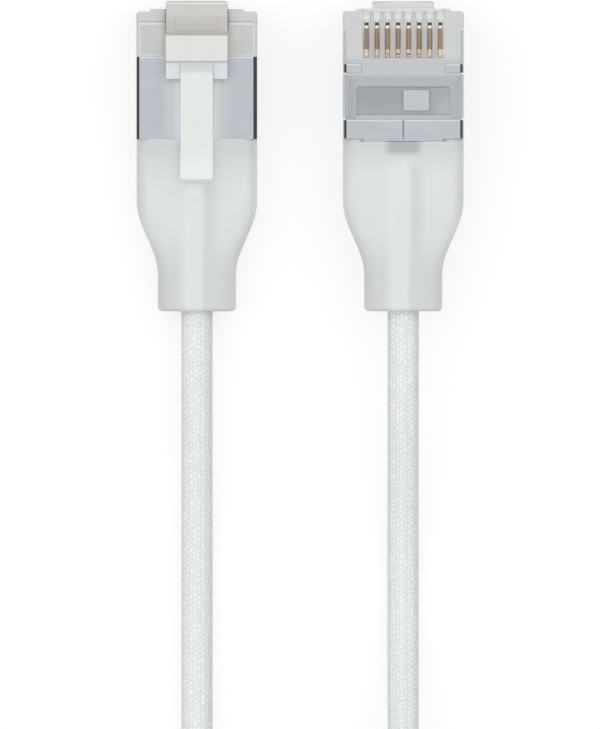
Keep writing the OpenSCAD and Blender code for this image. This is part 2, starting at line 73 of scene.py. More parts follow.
Colour = tuple[float, float, float]
Point = tuple[float, float, float]
Bound = tuple[str | float, ...]
Size = float | np.ndarray
Socket = bpy.types.NodeSocket


class End(Enum):
    """The two ends of the cable."""

    A = "a"
    B = "b"


# ---- Small formulas ----


def linear(rgb: Colour) -> tuple[float, float, float, float]:
    """Linear colour of a screen colour: c/12.92 up to 0.04, else ((c+0.055)/1.055)^2.4.

    Args:
        rgb: red, green and blue from 0 to 255.

    Returns:
        Red, green and blue from 0 to 1, and 1 for the opacity.
    """
    parts = [c / 255 for c in rgb]
    out = [c / 12.92 if c <= 0.04045 else ((c + 0.055) / 1.055) ** 2.4 for c in parts]
    return out[0], out[1], out[2], 1.0


def smooth(t: np.ndarray) -> np.ndarray:
    """Smooth step t*t*(3 - 2t) of t held between 0 and 1."""
    c = np.clip(t, 0.0, 1.0)
    return c * c * (3 - 2 * c)


def power(v: np.ndarray, e: Size) -> np.ndarray:
    """Signed power sign(v) |v|^e."""
    return np.sign(v) * np.abs(v) ** e


def unit(v: np.ndarray) -> np.ndarray:
    """Each row divided by its length."""
    return v / np.linalg.norm(v, axis=-1, keepdims=True)


def filleted(corners: list[tuple[float, float]], radius: float, steps: int = 4) -> np.ndarray:
    """Rounds every corner of a closed outline.

    A corner P between unit directions a and b to its neighbours becomes the quadratic arc
    P + (1-t)^2 d a + t^2 d b, with d the radius or 0.45 of the shorter side beside it.

    Args:
        corners: points of the outline in order.
        radius: how far the rounding reaches along each side.
        steps: points on each arc.

    Returns:
        The rounded outline, one row per point.
    """
    p = np.array(corners, dtype=float)
    to_last, to_next = np.roll(p, 1, axis=0) - p, np.roll(p, -1, axis=0) - p
    reach = 0.45 * np.minimum(np.linalg.norm(to_last, axis=1), np.linalg.norm(to_next, axis=1))
    d = np.minimum(radius, reach)[:, None, None]
    t = np.linspace(0, 1, steps)[None, :, None]
    a, b = unit(to_last)[:, None, :], unit(to_next)[:, None, :]
    return (p[:, None, :] + (1 - t) ** 2 * d * a + t**2 * d * b).reshape(-1, 2)


def inset(outline: np.ndarray, depth: float) -> np.ndarray:
    """Moves an outline inwards, each point along the mean normal of its two sides.

    Args:
        outline: points of a counter-clockwise outline.
        depth: how far they move.

    Returns:
        The moved points.
    """
    ahead = unit(np.roll(outline, -1, axis=0) - outline)
    behind = np.roll(ahead, 1, axis=0)
    mean = unit(ahead + behind)
    normal = np.stack([-mean[:, 1], mean[:, 0]], axis=1)
    return outline + depth * normal


def spline(points: np.ndarray, per_span: int) -> np.ndarray:
    """Curve through points: centripetal Catmull-Rom, evaluated with per_span steps in each span.

    Args:
        points: control points, one row each.
        per_span: steps from one control point to the next.

    Returns:
        Dense points of the curve, the first and last control point included.
    """
    p = np.vstack([2 * points[0] - points[1], points, 2 * points[-1] - points[-2]])
    p0, p1, p2, p3 = p[:-3, None], p[1:-2, None], p[2:-1, None], p[3:, None]
    k1, k2, k3 = (np.sqrt(np.linalg.norm(b - a, axis=2, keepdims=True)) for a, b in ((p0, p1), (p1, p2), (p2, p3)))
    t0, t1 = 0 * k1, k1
    t2, t3 = k1 + k2, k1 + k2 + k3
    t = t1 + (t2 - t1) * np.linspace(0, 1, per_span, endpoint=False)[None, :, None]
    a1 = (t1 - t) / (t1 - t0) * p0 + (t - t0) / (t1 - t0) * p1
    a2 = (t2 - t) / (t2 - t1) * p1 + (t - t1) / (t2 - t1) * p2
    a3 = (t3 - t) / (t3 - t2) * p2 + (t - t2) / (t3 - t2) * p3
    b1 = (t2 - t) / (t2 - t0) * a1 + (t - t0) / (t2 - t0) * a2
    b2 = (t3 - t) / (t3 - t1) * a2 + (t - t1) / (t3 - t1) * a3
    dense = ((t2 - t) / (t2 - t1) * b1 + (t - t1) / (t2 - t1) * b2).reshape(-1, 3)
    return np.vstack([dense, points[-1]])


def around(sides: int) -> np.ndarray:
    """Angles of a ring's points in radians, from half a step past nought."""
    return 2 * np.pi * (np.arange(sides) + 0.5) / sides


def superellipse(turn: np.ndarray, half_x: Size, half_z: Size, n: Size) -> tuple[np.ndarray, np.ndarray]:
    """Points at the angles turn of the curve |x/half_x|^n + |z/half_z|^n = 1."""
    return half_x * power(np.cos(turn), 2 / n), half_z * power(np.sin(turn), 2 / n)


def drawn_in(edge: float, past: np.ndarray) -> np.ndarray:
    """How far a rounded edge draws a skin in: edge - sqrt(edge^2 - past^2), with past the way into the edge."""
    return edge - np.sqrt(np.maximum(0, edge**2 - np.maximum(0, past) ** 2))


# ---- Meshes ----


def placed(name: str, data: bpy.types.ID) -> bpy.types.Object:
    """Adds an object to the scene, at the origin.

    Args:
        name: its name.
        data: its mesh, lamp or camera.

    Returns:
        The linked object.
    """
    obj = bpy.data.objects.new(name, data)
    bpy.context.scene.collection.objects.link(obj)
    return obj


def read(items: bpy.types.bpy_prop_collection, name: str, per_item: int = 1) -> np.ndarray:
    """Reads whole numbers off a mesh.

    Args:
        items: its polygons, loops or triangles.
        name: the property to read.
        per_item: numbers that each of them holds.

    Returns:
        All the numbers in one row.
    """
    out = np.empty(per_item * len(items), dtype=np.int64)
    items.foreach_get(name, out)
    return out


def mesh_object(name: str, verts: np.ndarray, faces: list, angle: float = 40.0) -> bpy.types.Object:
    """Makes a closed mesh object with its faces outwards, smooth but for edges sharper than angle.

    Args:
        name: name of the object and of its mesh.
        verts: points in metres, one row each.
        faces: lists of point numbers.
        angle: sharpest edge that is still shaded smooth, in degrees.

    Returns:
        The linked object, which sits at the origin.
    """
    mesh = bpy.data.meshes.new(name)
    mesh.from_pydata(verts.tolist(), [], faces)
    mesh.calc_loop_triangles()
    corners = read(mesh.loop_triangles, "vertices", 3).reshape(-1, 3)
    a, b, c = (verts[corners[:, k]] for k in range(3))
    if np.einsum("ij,ij->i", a, np.cross(b, c)).sum() < 0:
        mesh.flip_normals()
    mesh.shade_smooth()
    mesh.set_sharp_from_angle(angle=math.radians(angle))
    return placed(name, mesh)


def grid_faces(rows: int, cols: int, wrap_rows: bool, first: int = 0) -> list[tuple[int, int, int, int]]:
    """Quads of a grid of points whose columns close on themselves.

    Args:
        rows: rows of points.
        cols: points in each row.
        wrap_rows: whether the last row joins the first.
        first: number of the grid's first point.

    Returns:
        Four point numbers for each quad.
    """
    i = np.arange(rows if wrap_rows else rows - 1)[:, None]
    j = np.arange(cols)[None, :]
    ni, nj = (i + 1) % rows, (j + 1) % cols
    quads = np.stack(np.broadcast_arrays(i * cols + j, i * cols + nj, ni * cols + nj, ni * cols + j), axis=-1)
    return list(map(tuple, (quads.reshape(-1, 4) + first).tolist()))


def carried(outline: np.ndarray, start: float, stop: float, edge: float, steps: int = 3) -> np.ndarray:
    """Carries a flat outline along a line and rounds the edges round both ends.

    The ring at offset s from an end is the outline moved in by edge - sqrt(edge^2 - (edge - s)^2).

    Args:
        outline: counter-clockwise outline, one (p, q) row per point.
        start: first offset along the line.
        stop: last offset.
        edge: radius of the rounded edges.
        steps: rings on each rounded edge.

    Returns:
        Rings of (offset, p, q), shaped (rings, points, 3).
    """
    turn = np.linspace(0, math.pi / 2, steps + 1)
    along = np.concatenate([start + edge * (1 - np.cos(turn)), (stop - edge * (1 - np.cos(turn)))[::-1]])
    depth = np.concatenate([edge * (1 - np.sin(turn)), (edge * (1 - np.sin(turn)))[::-1]])
    rings = np.stack([inset(outline, d) for d in depth])
    offset = np.broadcast_to(along[:, None, None], rings.shape[:2] + (1,))
    return np.concatenate([offset, rings], axis=2)


def capped(rings: np.ndarray, first: int = 0) -> list:
    """Closes a stack of rings by a flat face at each end.

    Args:
        rings: the points, shaped (rings, points, 3).
        first: number of the stack's first point.

    Returns:
        Lists of point numbers, one for each face.
    """
    rows, cols = rings.shape[:2]
    ends = [list(range(first, first + cols)), list(range(first + (rows - 1) * cols, first + rows * cols))]
    return grid_faces(rows, cols, False, first) + [ends[0][::-1], ends[1]]


def rounded_copy(node: bpy.types.Object, name: str, width: float, *zones: "Zone") -> bpy.types.Object:
    """Copies a CAD node, merges its loose triangles into flat faces and rounds its sharp edges.

    Args:
        node: the CAD node, which stays as it is.
        name: name of the new object.
        width: width of the rounding in millimetres.
        zones: where edges get the zone's own rounding, or none because they lie close together.

    Returns:
        The linked object, which sits at the origin.
    """
    mesh = node.data.copy()
    mesh.name = name
    mesh.materials.clear()
    work = bmesh.new()
    work.from_mesh(mesh)
    bmesh.ops.remove_doubles(work, verts=work.verts, dist=SAME_POINT * MM)
    bmesh.ops.dissolve_limit(work, angle_limit=math.radians(FLAT_ANGLE), verts=work.verts, edges=work.edges)
    sharp = [e for e in work.edges if e.is_manifold and e.calc_face_angle(0) > math.radians(SHARP_ANGLE)]
    groups: dict[float, list[bmesh.types.BMEdge]] = {}
    for e in sharp:
        own = [zone.width for zone in zones if zone.covers(e)]
        groups.setdefault(own[0] if own else width, []).append(e)
    for offset in sorted((w for w in groups if w > 0), reverse=True):
        bmesh.ops.bevel(
            work,
            geom=[e for e in groups[offset] if e.is_valid],
            offset=offset * MM,
            offset_type="OFFSET",
            segments=2,
            profile=0.5,
            affect="EDGES",
            clamp_overlap=False,
        )
    bmesh.ops.remove_doubles(work, verts=work.verts, dist=SAME_POINT / 4 * MM)
    low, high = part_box(node.name)
    for v in work.verts:
        v.co = [min(max(c, a), b) for c, a, b in zip(v.co, low, high)]
    work.to_mesh(mesh)
    work.free()
    mesh.shade_smooth()
    mesh.set_sharp_from_angle(angle=math.radians(SHADED_ANGLE))
    obj = placed(name, mesh)
    even = obj.modifiers.new("even_shading", "WEIGHTED_NORMAL")
    even.weight, even.keep_sharp = 100, True
    return obj


# ---- Materials ----


@dataclass(frozen=True)
class Tint:
    """A colour laid over the part of a finish where all its bounds hold.

    A bound is the name of a number that is itself the share, or the name and two places, with nought at the
    first and one at the second, or the name, the two ends of a band and the softness of its edges. Blended
    with MULTIPLY, the colour is a factor on what lies under it. A second colour, where there is one, takes
    the first one's place as far as its own bound holds.
    """

    part: str
    colour: Colour
    bounds: tuple[Bound, ...]
    share: float = 1.0
    blend: str = "MIX"
    second: Colour | None = None
    second_where: Bound = ()


def tint(part: str, colour: Colour, *bounds: Bound, share: float = 1.0) -> Tint:
    """Screen colour that covers a part."""
    return Tint(part, colour, bounds, share)


def tone(part: str, factor: float | Colour, *bounds: Bound) -> Tint:
    """Factor that lightens or darkens a part."""
    colour = factor if isinstance(factor, tuple) else (factor,) * 3
    return Tint(part, colour, bounds, blend="MULTIPLY")


class Number:
    """A number that shader nodes work out, which takes the signs of arithmetic."""

    def __init__(self, board: "NodeBoard", socket: Socket) -> None:
        """Wraps an output socket of a board."""
        self.board, self.socket = board, socket

    def to(self, operation: str, *others: object) -> "Number":
        """Result of a maths operation on the number and any others."""
        return self.board.math(operation, self, *others)

    def __add__(self, other: object) -> "Number":
        """Sum."""
        return self.to("ADD", other)

    def __sub__(self, other: object) -> "Number":
        """Difference."""
        return self.to("SUBTRACT", other)

    def __rsub__(self, other: object) -> "Number":
        """Difference from a plain number."""
        return self.board.math("SUBTRACT", other, self)

    def __mul__(self, other: object) -> "Number":
        """Product."""
        return self.to("MULTIPLY", other)

    def __truediv__(self, other: object) -> "Number":
        """Quotient."""
        return self.to("DIVIDE", other)

    def either(self, other: object) -> "Number":
        """Sum of two shares, held between 0 and 1."""
        return self.board.math("ADD", self, other, clamp=True)

    def step(self, low: float, high: float) -> "Number":
        """Smooth step of the number.

        Args:
            low: where it is 0.
            high: where it is 1, which may be the smaller of the two.

        Returns:
            The step.
        """
        ends = {"From Min": min(low, high), "From Max": max(low, high)}
        ends |= {"To Min": float(low > high), "To Max": float(low <= high)}
        node = self.board.add("ShaderNodeMapRange", {"Value": self, **ends}, interpolation_type="SMOOTHSTEP")
        return Number(self.board, node.outputs["Result"])

    def band(self, low: float, high: float, soft: float) -> "Number":
        """One between low and high and nought outside, with edges that are soft wide."""
        half = soft / 2
        return self.step(low - half, low + half) * self.step(high + half, high - half)

    def within(self, *ends: float) -> "Number":
        """Share that a bound with these ends gives: the number itself, a step or a band."""
        return self if not ends else self.step(*ends) if len(ends) == 2 else self.band(*ends)


class NodeBoard:
    """The shader nodes of a material or the world, added and linked by short calls."""

    def __init__(self, tree: bpy.types.NodeTree) -> None:
        """Takes up a tree of nodes."""
        self.tree = tree

    def add(self, kind: str, inputs: dict | None = None, **settings: object) -> bpy.types.Node:
        """Adds a node.

        Args:
            kind: the node's type name.
            inputs: sockets by name or number, each given a value or something to link from.
            settings: properties of the node itself.

        Returns:
            The node.
        """
        node = self.tree.nodes.new(kind)
        for key, value in settings.items():
            setattr(node, key, value)
        for key, value in (inputs or {}).items():
            self.put(node.inputs[key], value)
        return node

    def put(self, socket: Socket, value: object) -> None:
        """Sets a socket to a value, or links a number or another socket to it."""
        source = value.socket if isinstance(value, Number) else value
        if isinstance(source, bpy.types.NodeSocket):
            self.tree.links.new(source, socket)
        else:
            socket.default_value = source

    def math(self, operation: str, *values: object, clamp: bool = False) -> Number:
        """Result of a maths node on up to three values."""
        node = self.add("ShaderNodeMath", dict(enumerate(values)), operation=operation, use_clamp=clamp)
        return Number(self, node.outputs[0])

    def mix(self, share: object, a: object, b: object, blend: str = "MIX", label: str = "") -> Socket:
        """Colour between a and b by share, from a node with a label."""
        settings = {"data_type": "RGBA", "blend_type": blend, "clamp_factor": True, "label": label}
        return self.add("ShaderNodeMix", {0: share, 6: a, 7: b}, **settings).outputs[2]

    def tinted(self, base: Socket, axes: dict[str, Number], tints: tuple[Tint, ...]) -> Socket:
        """Lays tints over a base colour, one after another.

        Args:
            base: the colour underneath.
            axes: the numbers that the bounds name.
            tints: what is laid on, in order.

        Returns:
            The finished colour.
        """
        for each in tints:
            shares = [axes[name].within(*ends) for name, *ends in each.bounds]
            if each.share < 1.0:
                shares.append(each.share)
            colour = linear(each.colour) if each.blend == "MIX" else (*each.colour, 1.0)
            if each.second:
                name, *ends = each.second_where
                colour = self.mix(axes[name].within(*ends), colour, linear(each.second))
            base = self.mix(math.prod(shares[1:], start=shares[0]), base, colour, each.blend, each.part)
        return base

    def noise(self, vector: Socket, scale: Point, detail: float = 2.0, roughness: float = 0.5) -> Number:
        """Noise on a stretched vector.

        Args:
            vector: the place.
            scale: how far it is stretched along each axis.
            detail: octaves of finer noise.
            roughness: how strong they are.

        Returns:
            A number from 0 to 1.
        """
        place = self.add("ShaderNodeMapping", {"Vector": vector, "Scale": scale}).outputs[0]
        sockets = {"Vector": place, "Scale": 1.0, "Detail": detail, "Roughness": roughness}
        return Number(self, self.add("ShaderNodeTexNoise", sockets).outputs["Fac"])

    def bump(self, height: Number, distance: float) -> Socket:
        """Normal of a surface raised by height times distance, which is in millimetres."""
        return self.add("ShaderNodeBump", {"Height": height, "Distance": distance * MM}).outputs["Normal"]

    def seen(self) -> Number:
        """One where the camera looks, straight, by reflection or through glass, and nought for other light."""
        path = self.add("ShaderNodeLightPath").outputs
        rays = [Number(self, path[f"Is {kind} Ray"]) for kind in ("Camera", "Glossy", "Transmission")]
        return rays[0].either(rays[1]).either(rays[2])


class MaterialBoard(NodeBoard):
    """The board of one material, which holds one principled shader."""

    def __init__(self, name: str) -> None:
        """Starts the material.

        Args:
            name: its name.
        """
        self.made = bpy.data.materials.new(name)
        self.made.use_nodes = True
        super().__init__(self.made.node_tree)
        self.tree.nodes.clear()
        self.shader = self.add("ShaderNodeBsdfPrincipled")
        self.add("ShaderNodeOutputMaterial", {"Surface": self.shader.outputs[0]})

    def local(self, place: "PlugPlace | None" = None) -> tuple[Socket, dict[str, Number]]:
        """Object coordinates in millimetres, inside a plug if one is given.

        Args:
            place: where the plug lies.

        Returns:
            The vector, and its numbers by name: x, u and z, ax for x without its sign, and right for x as it
            runs in the frame.
        """
        coords = self.add("ShaderNodeTexCoord").outputs["Object"]
        scale, shift = place.mapping() if place else ((1 / MM,) * 3, (0.0,) * 3)
        at = self.add("ShaderNodeMapping", {"Vector": coords, "Scale": scale, "Location": shift}).outputs[0]
        split = self.add("ShaderNodeSeparateXYZ", {0: at}).outputs
        axes = {name: Number(self, out) for name, out in zip("xuz", split)}
        axes["ax"] = axes["x"].to("ABSOLUTE")
        axes["right"] = axes["x"] * (place.side if place else 1.0)
        return at, axes

    def clouded(self, cloud: Number, colour: Colour, spread: float) -> Socket:
        """Colour that runs from spread below it to spread above it with the cloud.

        Args:
            cloud: number from 0 to 1.
            colour: the colour in the middle.
            spread: how far each of its parts runs either way.

        Returns:
            The clouded colour.
        """
        low, high = (tuple(c + k * spread for c in colour) for k in (-1, 1))
        return self.mix(cloud, linear(low), linear(high))

    def finish(self, **values: object) -> bpy.types.Material:
        """Sets or links the shader's own sockets, named with underscores for spaces, and returns the material."""
        for key, value in values.items():
            self.put(self.shader.inputs[key.replace("_", " ")], value)
        return self.made


@dataclass(frozen=True)
class PlugPlace:
    """Where one plug lies: plug a with its latch up, plug b turned over about its length."""

    end: End
    spacing: float
    nose_y: float
    stack: float

    @property
    def side(self) -> float:
        """1 for plug a and -1 for plug b."""
        return 1.0 if self.end is End.A else -1.0

    @property
    def lift(self) -> float:
        """Height in millimetres of the contact face: plug b's faces up, so it lies on top of the stack."""
        return 0.0 if self.end is End.A else self.stack

    def world(self, points: np.ndarray) -> np.ndarray:
        """Puts points of the plug in the frame.

        Args:
            points: (x, u, z) in millimetres, along the last axis.

        Returns:
            Their places in metres, in the same shape.
        """
        x, u, z = points[..., 0], points[..., 1], points[..., 2]
        moved = (self.side * (x - self.spacing / 2), self.nose_y - u, self.lift + self.side * z)
        return np.stack(moved, axis=-1) * MM

    def mapping(self) -> tuple[Point, Point]:
        """Scale and shift that turn metres in the frame into (x, u, z) in millimetres."""
        return (self.side / MM, -1 / MM, self.side / MM), (self.spacing / 2, self.nose_y, self.lift)

    def local(self, point: Point) -> tuple[float, ...]:
        """(x, u, z) in millimetres of one point given in metres."""
        scale, shift = self.mapping()
        return tuple(c * k + t for c, k, t in zip(point, scale, shift))


@dataclass(frozen=True)
class Zone:
    """A box inside a plug, in millimetres, whose edges get their own width of rounding."""

    place: PlugPlace
    low: Point
    high: Point
    whole: bool = True
    width: float = 0.0

    def holds(self, point: Point) -> bool:
        """Whether a point given in metres lies in the box."""
        return all(a <= c <= b for a, c, b in zip(self.low, self.place.local(point), self.high))

    def covers(self, edge: bmesh.types.BMEdge) -> bool:
        """Whether both ends of an edge lie in the box, or only one of them where whole is off."""
        inside = [self.holds(v.co) for v in edge.verts]
        return all(inside) if self.whole else any(inside)


@dataclass(frozen=True)
class PlugFinish:
    """Finish of a piece of a plug: a cloudy body colour, tints over its parts, and a fine grain."""

    name: str
    body: Colour
    tints: tuple[Tint, ...]
    spread: float = 0.0
    cloud: Point = (0.5, 0.4, 0.5)
    cloud_detail: float = 2.0
    grain: float = 8.0
    grain_depth: float = 0.003
    roughness: float = 0.4
    ior: float = 1.5
    scatter: float = 0.25
    scatter_reach: float = 0.0008

    def material(self, place: PlugPlace) -> bpy.types.Material:
        """Builds the finish for one plug.

        Args:
            place: where the plug lies.

        Returns:
            The material, named after the finish and the plug.
        """
        board = MaterialBoard(f"{self.name}_{place.end.value}")
        at, axes = board.local(place)
        axes["cloud"] = board.noise(at, self.cloud, self.cloud_detail)
        self.measure(board, at, axes)
        base = board.tinted(board.clouded(axes["cloud"], self.body, self.spread), axes, self.tints)
        return board.finish(Base_Color=base, **self.surface(board, at, axes))

    def measure(self, board: MaterialBoard, at: Socket, axes: dict[str, Number]) -> None:
        """Adds the numbers that only this finish's tints name.

        Args:
            board: the finish's board.
            at: the vector in millimetres.
            axes: the numbers of the board, which this adds to.
        """

    def surface(self, board: MaterialBoard, at: Socket, axes: dict[str, Number]) -> dict[str, object]:
        """Values of the shader's other sockets: those of a plastic that scatters light a little.

        Args:
            board: the finish's board.
            at: the vector in millimetres.
            axes: the numbers of the board.

        Returns:
            The values by the sockets' names, with underscores for spaces.
        """
        return {
            "Roughness": self.roughness,
            "IOR": self.ior,
            "Subsurface_Weight": self.scatter,
            "Subsurface_Scale": self.scatter_reach,
            "Normal": board.bump(board.noise(at, (self.grain,) * 3, 3.0), self.grain_depth),
        }


LATCH_FACE = ("z", 5.9, 6.2)
CONTACT_FACE = ("z", 2.1, 1.6)
COMB = (CONTACT_FACE, ("ax", 4.15, 4.0))
CHANNELS = (*COMB, ("u", -0.5, 5.0, 0.1), ("z", 0.06, 0.3))
WALLS = (*COMB, ("off", 0.34, 0.3), ("z", 0.3, 0.1), ("ax", 3.6, 3.5))
WINDOW = (CONTACT_FACE, ("u", 6.55, 11.0, 0.2))


@dataclass(frozen=True)
class MilkyPlastic(PlugFinish):
    """Clear moulded plastic with a milky body, for the housing, tinted part by part; many of its tints are painted
    light, shade and highlights.
    """

    name: str = "milky_plastic"
    body: Colour = (204, 207, 206)
    spread: float = 4.0
    cloud_detail: float = 3.0
    grain: float = 9.0
    roughness: float = 0.34
    scatter: float = 0.35
    scatter_reach: float = 0.001
    pitch: float = 1.02
    tints: tuple[Tint, ...] = (
        tint("front of the latch's face", (199, 200, 199), LATCH_FACE, ("u", 1.2, 1.6)),
        # Warm tint, painted lighter beside the slot to offset the latch's shadow there.
        tint("warm and lit beside the slot", (213, 209, 204), LATCH_FACE, ("ax", 2.6, 3.9, 1.1), ("u", 1.0, 2.6)),
        # Painted shade: a darker line along the step of the nose.
        tint("step", (197, 197, 196), LATCH_FACE, ("u", 1.16, 1.3, 0.08), ("ax", 5.7, 5.4)),
        tint("glint on the step", (222, 221, 220), LATCH_FACE, ("u", 1.36, 1.54, 0.1), ("ax", 5.55, 5.35)),
        # Painted highlights along the side edges and along the back edge of the latch's face.
        tint("highlight on the sides", (210, 215, 215), LATCH_FACE, ("ax", 5.45, 5.6, 0.1), ("u", 1.3, 1.6)),
        tint("highlight on the back edge", (213, 214, 213), LATCH_FACE, ("u", 4.42, 4.8, 0.1), ("ax", 5.6, 5.4)),
        # Painted light: the channels are lightened where the comb's depth shades them, less at their open front, and
        # most by the blades.
        tint("channels", (246, 249, 248), *CHANNELS),
        tint("front of the channels", (213, 218, 216), *CHANNELS, ("u", 0.95, 0.1)),
        tint("glow by the blades", (255, 249, 240), *COMB, ("z", 0.12, 0.3), ("u", 1.3, 5.3, 0.2)),
        tint("comb walls", (190, 193, 195), *WALLS, ("u", 0.1, 4.9, 0.2)),
        tint("back of the walls", (186, 182, 182), *WALLS, ("u", 2.1, 4.9, 0.8)),
        # Painted shade on the walls' rounded tips.
        tint("shaded tips of the walls", (168, 171, 174), *WALLS, ("u", 0.1, 0.46, 0.12)),
        tint("front strip", (222, 227, 225), ("z", 1.3, 1.1), ("ax", 4.5, 4.4), ("u", 0.15, 0.1)),
        tint("bar behind the comb", (192, 196, 199), CONTACT_FACE, ("u", 4.9, 6.7, 0.5), ("z", 0.35, 0.15)),
        tint("window rim", (178, 182, 184), *WINDOW, ("ax", 5.75, 5.6)),
        tint("one side of the window", (170, 174, 178), *WINDOW, ("x", 4.4, 4.8)),
        tint("its other side", (174, 178, 181), *WINDOW, ("x", -4.5, -4.8)),
        tint("window front", (190, 194, 196), CONTACT_FACE, ("u", 6.5, 6.86, 0.08), ("ax", 5.4, 5.2)),
        tint("window back", (186, 190, 193), CONTACT_FACE, ("u", 10.3, 11.0, 0.1), ("ax", 4.6, 4.4)),
        # Painted light where the window's depth shades its outer edges, the line in front of the bar and its walls.
        tint("painted light on the outer edges", (200, 204, 207), *WINDOW, ("ax", 5.42, 5.7, 0.05)),
        tint("painted light before the bar", (212, 216, 219), CONTACT_FACE, ("u", 7.54, 7.72, 0.05), ("ax", 4.7, 4.6)),
        tint("painted light on the window walls", (240, 244, 246), CONTACT_FACE, ("u", 7.4, 10.7, 0.1), ("z", 0.32, 0.36)),
        tint("outer rim", (188, 190, 190), ("ax", 5.7, 5.76), ("u", 13.0, 12.0)),
    )

    def measure(self, board: MaterialBoard, at: Socket, axes: dict[str, Number]) -> None:
        """Adds off: how far x is from the middle between two blades, in pitches.

        Args:
            board: the finish's board.
            at: the vector in millimetres.
            axes: the numbers of the board, which this adds to.
        """
        axes["off"] = ((axes["x"] / self.pitch + 100.5).to("FRACT") - 0.5).to("ABSOLUTE")


@dataclass(frozen=True)
class LatchPlastic(PlugFinish):
    """The same plastic on the latch, thin at its root and thick at its block and lever, tinted part by part; several
    of its tints are painted light, shade and highlights.
    """

    name: str = "latch_plastic"
    body: Colour = (204, 205, 200)
    roughness: float = 0.36
    scatter: float = 0.3
    scatter_reach: float = 0.0009
    tints: tuple[Tint, ...] = (
        tint("back of the root", (195, 192, 188), ("u", 0.4, 1.2)),
        # Painted highlight along the rounded front of the root.
        tint("rib", (226, 228, 221), ("u", -0.61, -0.46, 0.12)),
        # Painted shade: along the root's side edges, in the pocket's groove and on the step up to the block.
        tint("root's side edges", (188, 188, 183), ("u", 2.44, 2.38), ("ax", 2.88, 2.96)),
        tint("pocket", (190, 186, 182), ("pocket",)),
        tint("shade before the block", (189, 186, 181), ("u", 2.0, 2.2)),
        tint("block", (224, 224, 222), ("u", 2.52, 2.66)),
        # Painted shade on the block's end face and where the lever rises behind it.
        tint("shade at the end of the block", (214, 216, 219), ("u", 5.02, 5.1)),
        tint("shade where the lever starts", (210, 213, 216), ("u", 5.2, 5.3)),
        tint("lever", (226, 231, 229), ("u", 5.75, 6.5)),
        tint("grip", (232, 237, 235), ("u", 13.2, 16.0)),
        # Painted shade on the lever's rounded tip, then painted light on its steep end face to offset the shade there.
        tint("tip", (211, 216, 215), ("u", 16.42, 16.54)),
        tint("painted light on the end of the tip", (226, 234, 233), ("u", 16.68, 16.78)),
        # The wings' own paler colour, painted lighter still to offset the shade where they sit low by the shield.
        tint("wings", (217, 222, 225), ("ax", 1.56, 1.6), ("u", 5.2, 5.3)),
        # Painted light under the root, whose lower face lies in shade.
        tint("painted light under the root", (229, 232, 231), ("z", 5.9, 5.6), ("u", 1.0, 0.5)),
        tone("cloud", 0.97, ("cloud",)),
    )

    def measure(self, board: MaterialBoard, at: Socket, axes: dict[str, Number]) -> None:
        """Adds pocket: one in the groove down both sides and across the back of the root, where shade is painted.

        Args:
            board: the finish's board.
            at: the vector in millimetres.
            axes: the numbers of the board, which this adds to.
        """
        sides = axes["ax"].band(2.0, 2.16, 0.1) * axes["u"].band(0.8, 2.1, 0.3)
        back = axes["ax"].step(2.2, 1.9) * axes["u"].band(2.04, 2.2, 0.12)
        axes["pocket"] = sides.to("MAXIMUM", back)


@dataclass(frozen=True)
class BarPlastic(PlugFinish):
    """Grey translucent strain bar whose block, the highest part of it, stands out paler."""

    name: str = "strain_bar_grey"
    body: Colour = (163, 167, 171)
    spread: float = 4.0
    cloud: Point = (0.6, 0.6, 0.6)
    tints: tuple[Tint, ...] = (
        tint("bright end", (174, 179, 182), ("x", -2.6, -4.2), ("u", 7.7, 9.6)),
        tint("shade of the block", (158, 162, 166), ("x", -0.3, 0.3), ("u", 9.9, 8.9), ("z", 0.3, 0.42)),
        tint("block", (190, 194, 197), ("z", 0.49, 0.46)),
    )


